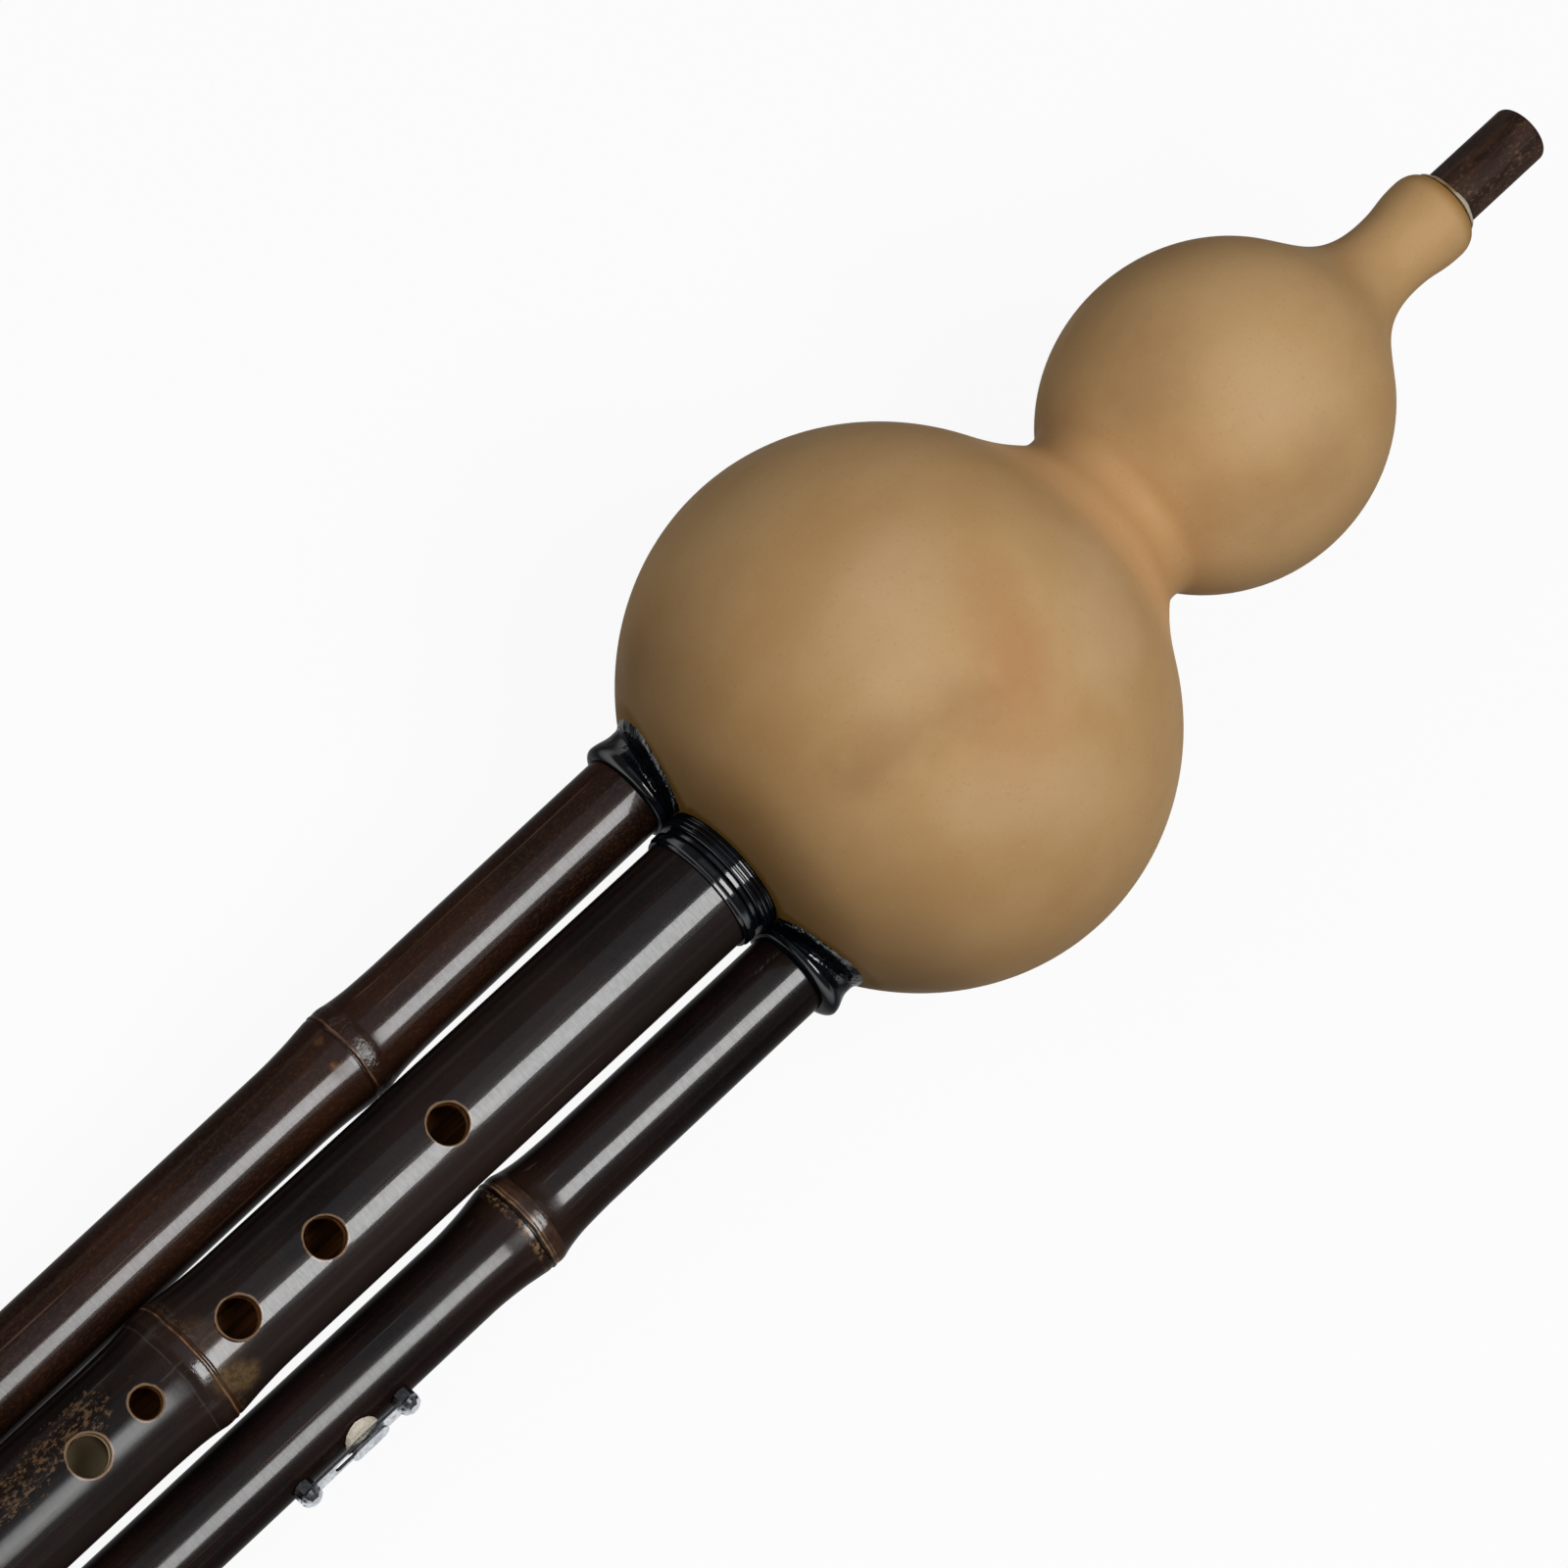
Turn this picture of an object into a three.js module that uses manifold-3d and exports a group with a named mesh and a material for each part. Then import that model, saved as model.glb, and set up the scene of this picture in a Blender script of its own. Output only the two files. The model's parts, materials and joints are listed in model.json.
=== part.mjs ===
// Gourd flute: a gourd wind chest with a mouthpiece, one melody pipe with finger holes and two drone pipes.
// Lengths are in millimetres and +Z is up.
// The flute is built along its own axis, +X towards the mouthpiece, with the finger holes facing +Z.
// A last group tilts it so that the big bulb and the foot of the melody pipe rest on the ground.
import * as THREE from "three";
import { mergeVertices } from "three/addons/utils/BufferGeometryUtils.js";
import Module from "manifold-3d";

// Gourd outline, measured from the centre of the big bulb
const bigBulbRadius = 43.6;
const bigBulbFootLength = 40;
const bigBulbTopLength = 40;
const bigBulbFootAngle = 141.7;
const bigBulbTopAngle = 38.4;
const gourdFootAt = -36;
const gourdFlatRadius = 9;
const gourdFootReach = 6;
const smallBulbCentre = 68.4;
const smallBulbRadius = 26.35;
const smallBulbLength = 28.4;
const smallBulbFootAngle = 139.4;
const smallBulbTopAngle = 40.4;
const waistReach = 6.5;
const neckAt = 107;
const neckRadius = 6.8;
const neckReach = 8.5;
const lipAt = 116.2;
const lipRadius = 7.6;
const gourdTop = 119.2;
const gourdMouthRadius = 5.9;
const gourdWall = 3.5;

// Mouthpiece
const mouthpieceRadius = 4.9;
const mouthpieceBoreRadius = 3.5;
const mouthpieceBottom = 97;
const mouthpieceTop = 138;
const mouthpieceRound = 0.9;
const mouthpieceSealHeight = 1.1;
const mouthpieceSealRadius = 6.2;

// Melody pipe
const pipeRadius = 9.5;
const pipeBoreRadius = 6.5;
const pipeFoot = -273;
const pipeShoulder = -41;
const pipeFootRound = 0.6;
const pipeNodeAt = -142.8;
const pipeNodeRadius = 10.3;
const tenonRadius = 6.9;
const tenonBoreRadius = 5;
const tenonTop = 16;
const tenonGrooveDepth = 0.7;
const tenonSealWidth = 3;
const tenonSealPositions = [-34.5, -27.5];
const fingerHoleRadius = 3;
const smallHoleRadius = 2.3;
const holeRim = 0.35;
const fingerHoles = [
  { at: -93.6, radius: fingerHoleRadius },
  { at: -117.3, radius: fingerHoleRadius },
  { at: -133.7, radius: fingerHoleRadius },
  { at: -151.1, radius: smallHoleRadius },
  { at: -161.7, radius: fingerHoleRadius },
  { at: -184, radius: fingerHoleRadius },
];
const backHoles = [
  { at: -80, radius: fingerHoleRadius },
  { at: -222, radius: smallHoleRadius },
];

// Ferrule on the melody pipe and the socket that takes its tenon
const ferruleBottom = -41.9;
const ferruleRadius = 10.3;
const ferruleRound = 0.3;
const ferruleFaceThickness = 0.9;
const socketBottom = -39.5;
const socketNeckRadius = 9.6;
const socketRingBottom = -38.6;
const socketRingRadius = 10.7;
const socketRidgeDepth = 0.4;
const socketRidgeCount = 3;
const socketRidgePitch = 0.78;
const socketCrestShare = 0.35;
const socketFallShare = 0.65;
const socketSleeveRadius = 9;
const socketBoreRadius = 7.6;
const socketTop = -21;

// Drone pipes and their collars
const droneSetBack = 6;
const droneBoreRadius = 4.2;
const droneTop = 10;
const droneFoot = -215;
const leftDrone = {
  side: 1,
  spacing: 17.65,
  turnIn: 0.65,
  leanBack: 0.55,
  radius: 6.92,
  nodeAt: -93.7,
  nodeRadius: 7.75,
  lipWall: 1.2,
  waistWall: 0.6,
};
const rightDrone = {
  side: -1,
  spacing: 17.5,
  turnIn: 0,
  leanBack: 0,
  radius: 6.75,
  nodeAt: -91.9,
  nodeRadius: 7.95,
  lipWall: 1.9,
  waistWall: 0.85,
};
const collarBottom = -38.2;
const collarLipHeight = 1.2;
const collarWaistAt = -36.2;
const collarSkirtRadius = 10.5;
const collarSkirtForward = 3.5;
const collarSkirtInward = 0.6;
const collarSkirtThickness = 0.7;
const footPlugLength = 6;

// Bamboo nodes: a rise from the gourd's side, two ridges with a groove between them, and a fall to the foot
const nodeRiseLength = 9;
const nodeFallLength = 10;
const nodeRidgeHalfGap = 0.8;
const nodeGroove = 0.35;
const nodeRiseShares = [
  { length: 1, height: 0 },
  { length: 0.5, height: 0.25 },
  { length: 0.2, height: 0.65 },
];
const nodeFallShares = [
  { length: 1, height: 0 },
  { length: 0.6, height: 0.35 },
  { length: 0.3, height: 0.75 },
];

// Reeds and the plugs that close the inner ends of the pipes
const topPlugLength = 4;
const reedThickness = 0.4;
const tongueSlit = 0.3;
const tongueTipGapShare = 0.12;
const melodyReed = { length: 22, width: 6.8, flat: 5.6, tongueLength: 15, tongueWidth: 2.6 };
const droneReed = { length: 19, width: 6, flat: 5, tongueLength: 12.5, tongueWidth: 2.2 };
const reedEndMargin = 1.5;

// Key over the sound hole of the right drone
const keyFrontAngle = 26;
const soundHoleAt = -130.2;
const soundHoleRadius = 1.6;
const upperScrewAt = -122.5;
const lowerScrewAt = -141.4;
const screwHeadRadius = 1.8;
const screwHeadHeight = 1.3;
const screwShankRadius = 0.6;
const screwDepth = 1.9;
const screwFlutes = 10;
const screwFluteRadius = 0.28;
const railWidth = 2.7;
const railThickness = 0.5;
const railLift = 1.2;
const railEyeRadius = 1.8;
const keyTravel = 5.5;
const keyStemRadius = 0.5;
const keyCapLength = 6.8;
const keyCapWidth = 2.6;
const keyCapHeight = 0.5;
const keyCapRound = 0.15;
const padRadius = 3;
const padTopLift = 0.9;

// Fits, overruns and mesh density
const clearance = 0.3;
const overrun = 1;
const weldDistance = 0.0005;
const gourdFacets = 36;
const pipeFacets = 32;
const droneFacets = 24;
const holeFacets = 16;
const smallFacets = 12;

const wasm = await Module();
wasm.setup();

// A closed three.js geometry as a solid
function solidOf(geometry) {
  const bare = geometry.index ? geometry.toNonIndexed() : geometry.clone();
  bare.deleteAttribute("normal");
  bare.deleteAttribute("uv");
  const merged = mergeVertices(bare, weldDistance);
  const shape = {
    numProp: 3,
    vertProperties: merged.attributes.position.array,
    triVerts: new Uint32Array(merged.index.array),
  };
  return new wasm.Manifold(new wasm.Mesh(shape));
}

// A solid as a three.js geometry
function geometryOf(solid) {
  const shape = solid.getMesh();
  const geometry = new THREE.BufferGeometry();
  geometry.setAttribute("position", new THREE.BufferAttribute(shape.vertProperties, 3));
  geometry.setIndex(new THREE.BufferAttribute(shape.triVerts, 1));
  geometry.computeVertexNormals();
  return geometry;
}

// A solid of revolution about X from pairs of position and radius, with one flat side facing down
function turned(outline, facets) {
  const points = outline.map(([along, radius]) => new THREE.Vector2(radius, along));
  return new THREE.LatheGeometry(points, facets, Math.PI / facets).rotateZ(-Math.PI / 2);
}

// A plain round bar about X
function roundBar(from, to, radius, facets) {
  return turned([[from, 0], [from, radius], [to, radius], [to, 0]], facets);
}

// A tube about X
function tube(from, to, inner, outer, facets) {
  return turned([[from, inner], [from, outer], [to, outer], [to, inner], [from, inner]], facets);
}

// A round bar that stands along Z over one position on the X axis
function standingBar(at, bottom, top, radius, facets) {
  const bar = new THREE.CylinderGeometry(radius, radius, top - bottom, facets);
  return bar.rotateX(Math.PI / 2).translate(at, 0, (bottom + top) / 2);
}

// A block between two corners
function block(low, high) {
  const size = high.map((value, i) => value - low[i]);
  const centre = high.map((value, i) => (value + low[i]) / 2);
  return new THREE.BoxGeometry(...size).translate(...centre);
}

// Points of an ellipse about a point of the axis, with angles in degrees from +X
function ellipseArc(centre, length, radius, fromAngle, toAngle, steps) {
  return Array.from({ length: steps + 1 }, (_, i) => {
    const angle = THREE.MathUtils.degToRad(fromAngle + ((toAngle - fromAngle) * i) / steps);
    return [centre + length * Math.cos(angle), radius * Math.sin(angle)];
  });
}

// The point that lies ahead of an ellipse point along its tangent towards +X
function ahead(centre, length, radius, angle, distance) {
  const radians = THREE.MathUtils.degToRad(angle);
  const tangent = new THREE.Vector2(length * Math.sin(radians), -radius * Math.cos(radians));
  tangent.setLength(distance);
  return [centre + length * Math.cos(radians) + tangent.x, radius * Math.sin(radians) + tangent.y];
}

// Points of a cubic curve
function cubic(start, startHandle, endHandle, end, steps) {
  const corners = [start, startHandle, endHandle, end].map(([x, y]) => new THREE.Vector2(x, y));
  const curve = new THREE.CubicBezierCurve(...corners);
  return curve.getPoints(steps).map((point) => [point.x, point.y]);
}

// The lower half of the big bulb, from the axis to its widest ring: a flat foot that runs into an ellipse
function bulbFoot() {
  const bulb = [0, bigBulbFootLength, bigBulbRadius];
  const belly = ellipseArc(...bulb, bigBulbFootAngle, 90, 6);
  const shoulder = cubic(
    [gourdFootAt, gourdFlatRadius],
    [gourdFootAt, gourdFlatRadius + gourdFootReach],
    ahead(...bulb, bigBulbFootAngle, -gourdFootReach),
    belly[0],
    4,
  );
  return [[gourdFootAt, 0], ...shoulder, ...belly.slice(1)];
}

// The gourd's outer outline from the axis at its foot to the edge of its mouth
function gourdOutline() {
  const bulb = [0, bigBulbTopLength, bigBulbRadius];
  const small = [smallBulbCentre, smallBulbLength, smallBulbRadius];
  const bulbTop = ellipseArc(...bulb, 90, bigBulbTopAngle, 6);
  const smallBulb = ellipseArc(...small, smallBulbFootAngle, smallBulbTopAngle, 9);
  const waist = cubic(
    bulbTop.at(-1),
    ahead(...bulb, bigBulbTopAngle, waistReach),
    ahead(...small, smallBulbFootAngle, -waistReach),
    smallBulb[0],
    6,
  );
  const neck = cubic(
    smallBulb.at(-1),
    ahead(...small, smallBulbTopAngle, neckReach),
    [neckAt - neckReach, neckRadius],
    [neckAt, neckRadius],
    5,
  );
  const middle = (neckAt + lipAt) / 2;
  const lip = cubic([neckAt, neckRadius], [middle, neckRadius], [middle, lipRadius], [lipAt, lipRadius], 4);
  const end = ellipseArc(lipAt, gourdTop - lipAt, lipRadius - gourdMouthRadius, 90, 0, 3);
  const raised = end.map(([along, radius]) => [along, radius + gourdMouthRadius]);
  const parts = [bulbTop, waist, smallBulb, neck, lip, raised].map((part) => part.slice(1));
  return [...bulbFoot(), ...parts.flat()];
}

// An outline moved along its own normals: a positive distance moves it outwards
function offsetOutline(outline, distance) {
  return outline.map(([along, radius], i) => {
    const before = outline[Math.max(i - 1, 0)];
    const after = outline[Math.min(i + 1, outline.length - 1)];
    const normal = new THREE.Vector2(before[1] - after[1], after[0] - before[0]);
    if (radius === 0) normal.set(-1, 0);
    normal.setLength(distance);
    return [along + normal.x, Math.max(radius + normal.y, 0)];
  });
}

// The wind chest's inner outline, which runs into a straight bore for the mouthpiece
function gourdInnerOutline(outline) {
  const bore = mouthpieceRadius + clearance;
  const inner = offsetOutline(outline, -gourdWall).filter((_, i) => i % 3 === 0);
  const chest = inner.filter(([along, radius]) => along < smallBulbCentre || radius > bore);
  return [...chest, [chest.at(-1)[0] + chest.at(-1)[1] - bore, bore], [gourdTop, bore]];
}

// The hollow gourd with the openings for the socket and the two drones
function gourdShell() {
  const outline = gourdOutline();
  const inner = gourdInnerOutline(outline).reverse();
  const shell = solidOf(turned([...outline, ...inner], gourdFacets));
  const bottom = gourdFootAt - overrun;
  const socketHole = roundBar(bottom, 0, socketSleeveRadius + clearance, pipeFacets);
  const cut = [leftDrone, rightDrone].reduce((left, drone) => {
    const hole = roundBar(bottom, 0, drone.radius + clearance, droneFacets);
    return left.subtract(solidOf(hole.applyMatrix4(dronePlace(drone))));
  }, shell.subtract(solidOf(socketHole)));
  return geometryOf(cut);
}

// The gourd grown by a distance
function gourdGrown(distance) {
  return turned([...offsetOutline(gourdOutline(), distance), [gourdTop, 0]], gourdFacets);
}

// The gourd grown by the clearance, which is what cuts the pieces that hug it
function gourdEnvelope() {
  return gourdGrown(clearance);
}

// Where a drone lies: set at its collar, turned in towards the melody pipe and leaning back
function dronePlace(drone) {
  const turnIn = drone.side * THREE.MathUtils.degToRad(drone.turnIn);
  const leanBack = THREE.MathUtils.degToRad(drone.leanBack);
  const turn = new THREE.Matrix4().makeRotationFromEuler(new THREE.Euler(0, -leanBack, turnIn));
  const collarPoint = new THREE.Vector3(collarBottom, drone.side * drone.spacing, -droneSetBack);
  const fromCollar = new THREE.Matrix4().makeTranslation(-collarBottom, 0, 0);
  return new THREE.Matrix4().makeTranslation(collarPoint).multiply(turn).multiply(fromCollar);
}

// Outline of a bamboo node, from its foot side to its gourd side
function nodeOutline(at, pipe, crest) {
  const height = crest - pipe;
  const fall = nodeFallShares.map((share) => [at - share.length * nodeFallLength, pipe + share.height * height]);
  const rise = nodeRiseShares.map((share) => [at + share.length * nodeRiseLength, pipe + share.height * height]);
  const ridges = [
    [at - nodeRidgeHalfGap, crest],
    [at, crest - nodeGroove],
    [at + nodeRidgeHalfGap, crest],
  ];
  return [...fall, ...ridges, ...rise.reverse()];
}

function mouthpieceTube() {
  const round = ellipseArc(mouthpieceTop - mouthpieceRound, mouthpieceRound, mouthpieceRound, 90, 0, 3);
  const tip = round.map(([along, radius]) => [along, radius + mouthpieceRadius - mouthpieceRound]);
  const start = [mouthpieceBottom, mouthpieceBoreRadius];
  const outline = [start, [mouthpieceBottom, mouthpieceRadius], ...tip];
  return turned([...outline, [mouthpieceTop, mouthpieceBoreRadius], start], droneFacets);
}

// The bead of glue round the mouthpiece where it leaves the gourd
function mouthpieceSeal() {
  const inner = mouthpieceRadius + clearance;
  const bottom = gourdTop + clearance;
  const bead = ellipseArc(bottom, mouthpieceSealHeight, mouthpieceSealRadius - inner, 0, 90, 3);
  const rim = bead.map(([along, radius]) => [along, radius + inner]).reverse();
  return turned([[bottom, inner], ...rim, [bottom, inner]], droneFacets);
}

// The socket: a sleeve through the gourd's foot and, outside it, a neck with a ridged ring
function socketBase() {
  const low = socketRingRadius - socketRidgeDepth;
  const ridges = Array.from({ length: socketRidgeCount }, (_, i) => {
    const at = socketRingBottom + i * socketRidgePitch;
    return [
      [at, low],
      [at + socketRidgePitch * socketCrestShare, socketRingRadius],
      [at + socketRidgePitch * socketFallShare, socketRingRadius],
    ];
  }).flat();
  const ring = turned(
    [
      [socketBottom, socketBoreRadius],
      [socketBottom, socketNeckRadius],
      [socketRingBottom, socketNeckRadius],
      ...ridges,
      [0, socketRingRadius],
      [0, socketBoreRadius],
      [socketBottom, socketBoreRadius],
    ],
    pipeFacets,
  );
  const sleeve = tube(socketBottom, socketTop, socketBoreRadius, socketSleeveRadius, pipeFacets);
  const hugging = solidOf(ring).subtract(solidOf(gourdEnvelope()));
  return geometryOf(hugging.add(solidOf(sleeve)));
}

// A drone's collar: a lip, a waist and a skirt that lies on the gourd, reaching furthest on the front
function collar(drone) {
  const bore = drone.radius + clearance;
  const lipAt = collarBottom + collarLipHeight;
  const lip = ellipseArc(lipAt, collarLipHeight, drone.lipWall, 180, 90, 3);
  const slope = (collarWaistAt - lipAt) / 2;
  const back = cubic(
    [lipAt, drone.lipWall],
    [lipAt + slope, drone.lipWall],
    [collarWaistAt - slope, drone.waistWall],
    [collarWaistAt, drone.waistWall],
    4,
  );
  const walls = [...lip, ...back.slice(1), [0, drone.waistWall], [0, 0]];
  const outline = walls.map(([along, wall]) => [along, wall + bore]);
  const bell = solidOf(turned([...outline, outline[0]], droneFacets));
  const home = dronePlace(drone).invert();
  const ring = roundBar(collarBottom - overrun, 0, socketRingRadius + clearance, pipeFacets);
  const cutters = solidOf(gourdEnvelope().applyMatrix4(home)).add(solidOf(ring.applyMatrix4(home)));
  return geometryOf(bell.add(collarSkirt(drone, home)).subtract(cutters));
}

// A thin layer over the gourd round a drone, in the drone's frame
function collarSkirt(drone, home) {
  const disc = roundBar(collarBottom, 0, collarSkirtRadius, pipeFacets);
  disc.translate(0, -drone.side * collarSkirtInward, collarSkirtForward);
  const cover = gourdGrown(clearance + collarSkirtThickness).applyMatrix4(home);
  const passage = roundBar(collarBottom - overrun, overrun, drone.radius + clearance, droneFacets);
  return solidOf(disc).intersect(solidOf(cover)).subtract(solidOf(passage));
}

// The ring on the melody pipe's shoulder, which stops against the socket
function ferrule() {
  const face = pipeShoulder + clearance;
  const top = face + ferruleFaceThickness;
  const inner = tenonRadius + clearance;
  const bore = pipeRadius + clearance;
  const outline = [
    [ferruleBottom, bore],
    [ferruleBottom, ferruleRadius - ferruleRound],
    [ferruleBottom + ferruleRound, ferruleRadius],
    [top - ferruleRound, ferruleRadius],
    [top, ferruleRadius - ferruleRound],
    [top, inner],
    [face, inner],
    [face, bore],
    [ferruleBottom, bore],
  ];
  return turned(outline, pipeFacets);
}

function tenonSeal(at) {
  const inner = tenonRadius - tenonGrooveDepth + clearance;
  const half = tenonSealWidth / 2;
  return tube(at - half, at + half, inner, socketBoreRadius - clearance, pipeFacets);
}

// Steps of the tenon's outline where the seals sit
function tenonGrooves() {
  const half = tenonSealWidth / 2 + clearance;
  const floor = tenonRadius - tenonGrooveDepth;
  return tenonSealPositions.flatMap((at) => [
    [at - half, tenonRadius],
    [at - half, floor],
    [at + half, floor],
    [at + half, tenonRadius],
  ]);
}

// The melody pipe: bamboo with a node, finger holes, a tenon and a flat seat for its reed
function melodyPipe() {
  const foot = [pipeFoot, pipeBoreRadius];
  const outline = [
    foot,
    [pipeFoot, pipeRadius - pipeFootRound],
    [pipeFoot + pipeFootRound, pipeRadius],
    ...nodeOutline(pipeNodeAt, pipeRadius, pipeNodeRadius),
    [pipeShoulder, pipeRadius],
    [pipeShoulder, tenonRadius],
    ...tenonGrooves(),
    [tenonTop, tenonRadius],
    [tenonTop, tenonBoreRadius],
    [pipeShoulder, tenonBoreRadius],
    [pipeShoulder - pipeBoreRadius, pipeBoreRadius],
    foot,
  ];
  const holes = [
    ...fingerHoles.map(fingerHole),
    ...backHoles.map((hole) => fingerHole(hole).rotateX(Math.PI)),
    ...reedSeat(melodyReed, tenonTop, tenonRadius),
  ];
  return geometryOf(cutAll(turned(outline, pipeFacets), holes));
}

// What a finger hole cuts from the front of the melody pipe: a round bar that widens to a broken edge
function fingerHole(hole) {
  const profile = [
    [0, 0],
    [hole.radius, 0],
    [hole.radius, pipeRadius - holeRim],
    [hole.radius + holeRim + overrun, pipeRadius + overrun],
    [0, pipeRadius + overrun],
  ];
  const points = profile.map(([radius, height]) => new THREE.Vector2(radius, height));
  return new THREE.LatheGeometry(points, holeFacets).rotateX(Math.PI / 2).translate(hole.at, 0, 0);
}

function cutAll(geometry, cutters) {
  return cutters.reduce((left, cutter) => left.subtract(solidOf(cutter)), solidOf(geometry));
}

// What is cut from the inner end of a pipe for its reed: a flat seat, and a slot into the bore
function reedSeat(reed, top, radius) {
  const end = top - topPlugLength - reedEndMargin;
  const start = end - reed.length;
  const half = reed.width;
  const slotHalf = reed.tongueWidth / 2 + tongueSlit;
  const seat = [start - clearance, -half, reed.flat];
  const slot = [start + reedEndMargin, -slotHalf, 0];
  return [
    block(seat, [end + clearance, half, radius + overrun]),
    block(slot, [start + reedEndMargin + reed.tongueLength, slotHalf, reed.flat + overrun]),
  ];
}

// A reed plate with its pointed tongue cut free on two sides
function reedPlate(reed, top) {
  const end = top - topPlugLength - reedEndMargin;
  const start = end - reed.length;
  const half = reed.width / 2;
  const plate = new THREE.Shape();
  plate.setFromPoints(corners(start, end, half));
  const root = start + reedEndMargin + reed.tongueLength;
  const tip = start + reedEndMargin;
  const wide = reed.tongueWidth / 2;
  const narrow = reed.tongueWidth * tongueTipGapShare;
  const slit = new THREE.Path();
  slit.setFromPoints([
    new THREE.Vector2(root, wide),
    new THREE.Vector2(tip + tongueSlit, narrow),
    new THREE.Vector2(tip + tongueSlit, -narrow),
    new THREE.Vector2(root, -wide),
    new THREE.Vector2(root, -wide - tongueSlit),
    new THREE.Vector2(tip, -narrow - tongueSlit),
    new THREE.Vector2(tip, narrow + tongueSlit),
    new THREE.Vector2(root, wide + tongueSlit),
  ]);
  plate.holes.push(slit);
  const reedGeometry = new THREE.ExtrudeGeometry(plate, { depth: reedThickness, bevelEnabled: false });
  return reedGeometry.translate(0, 0, reed.flat + clearance);
}

function corners(start, end, half) {
  return [
    new THREE.Vector2(start, -half),
    new THREE.Vector2(end, -half),
    new THREE.Vector2(end, half),
    new THREE.Vector2(start, half),
  ];
}

// A drone pipe: bamboo with a node and a flat seat for its reed
function dronePipe(drone, cutters) {
  const foot = [droneFoot, droneBoreRadius];
  const outline = [
    foot,
    [droneFoot, drone.radius - pipeFootRound],
    [droneFoot + pipeFootRound, drone.radius],
    ...nodeOutline(drone.nodeAt, drone.radius, drone.nodeRadius),
    [droneTop, drone.radius],
    [droneTop, droneBoreRadius],
    foot,
  ];
  const cuts = [...reedSeat(droneReed, droneTop, drone.radius), ...cutters];
  return geometryOf(cutAll(turned(outline, droneFacets), cuts));
}

function plug(from, to, bore) {
  return roundBar(from, to, bore - clearance, holeFacets);
}

// What the key's parts cut from the right drone, in the key's frame: its sound hole and two screw holes
function keyCutters() {
  const top = rightDrone.radius + overrun;
  const screwHole = screwShankRadius + clearance;
  return [
    standingBar(soundHoleAt, 0, top, soundHoleRadius, holeFacets),
    standingBar(upperScrewAt, 0, top, screwHole, smallFacets),
    standingBar(lowerScrewAt, 0, top, screwHole, smallFacets),
  ];
}

// A flat plate outlined by a closed path, lifted to a height
function plateFrom(shape, bottom, thickness) {
  const geometry = new THREE.ExtrudeGeometry(shape, {
    depth: thickness,
    bevelEnabled: false,
    curveSegments: smallFacets / 2,
  });
  return geometry.translate(0, 0, bottom);
}

// A strip with round ends
function strip(from, to, half) {
  const shape = new THREE.Shape();
  shape.absarc(to, 0, half, -Math.PI / 2, Math.PI / 2, false);
  shape.absarc(from, 0, half, Math.PI / 2, Math.PI * 1.5, false);
  shape.closePath();
  return shape;
}

// The key's rail: a slotted strip on two feet that follow the pipe
function keyRail() {
  const pipe = rightDrone.radius;
  const strap = strip(lowerScrewAt, upperScrewAt, railWidth / 2);
  const slotHalf = keyStemRadius + clearance;
  strap.holes.push(strip(soundHoleAt - keyTravel, soundHoleAt, slotHalf));
  const body = solidOf(plateFrom(strap, pipe + railLift, railThickness));
  const feet = [lowerScrewAt, upperScrewAt].map((at) =>
    solidOf(standingBar(at, pipe - overrun, pipe + railLift + railThickness, railEyeRadius, smallFacets)),
  );
  const whole = feet.reduce((left, foot) => left.add(foot), body);
  const shank = screwShankRadius + clearance;
  const screwHoles = [lowerScrewAt, upperScrewAt].map((at) =>
    standingBar(at, 0, pipe + railLift + railThickness + overrun, shank, smallFacets),
  );
  const cutters = [pipeEnvelope(), ...screwHoles].map(solidOf);
  return geometryOf(cutters.reduce((left, cutter) => left.subtract(cutter), whole));
}

// The right drone under the key, grown by the clearance
function pipeEnvelope() {
  const reach = upperScrewAt - lowerScrewAt;
  return roundBar(lowerScrewAt - reach, upperScrewAt + reach, rightDrone.radius + clearance, droneFacets);
}

// A key screw with a fluted button head
function keyScrew(at) {
  const seat = rightDrone.radius + railLift + railThickness + clearance;
  const shank = standingBar(at, rightDrone.radius - screwDepth, seat + clearance, screwShankRadius, smallFacets);
  const dome = ellipseArc(0, screwHeadHeight, screwHeadRadius, 90, 0, 3);
  const head = turned([[0, 0], ...dome.slice(0, -1), [screwHeadHeight, 0]], smallFacets * 2);
  head.rotateY(-Math.PI / 2).translate(at, 0, seat);
  const flutes = Array.from({ length: screwFlutes }, (_, i) => {
    const angle = (i / screwFlutes) * 2 * Math.PI;
    const flute = standingBar(0, seat - overrun, seat + screwHeadHeight + overrun, screwFluteRadius, smallFacets / 2);
    return flute.translate(
      at + screwHeadRadius * Math.cos(angle),
      screwHeadRadius * Math.sin(angle),
      0,
    );
  });
  return geometryOf(cutAll(head, flutes).add(solidOf(shank)));
}

// The key's slider: a long button over the rail with a stem through the slot
function keySlider() {
  const seat = rightDrone.radius + railLift + railThickness + clearance;
  const reach = (keyCapLength - keyCapWidth) / 2;
  const shape = strip(soundHoleAt - reach, soundHoleAt + reach, keyCapWidth / 2 - keyCapRound);
  const cap = new THREE.ExtrudeGeometry(shape, {
    depth: keyCapHeight - 2 * keyCapRound,
    bevelSize: keyCapRound,
    bevelThickness: keyCapRound,
    bevelSegments: 2,
    curveSegments: smallFacets / 2,
  });
  cap.translate(0, 0, seat + keyCapRound);
  const bottom = rightDrone.radius + padTopLift / 2 + clearance;
  const stem = standingBar(soundHoleAt, bottom, seat + clearance, keyStemRadius, smallFacets);
  return geometryOf(solidOf(cap).add(solidOf(stem)));
}

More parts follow.
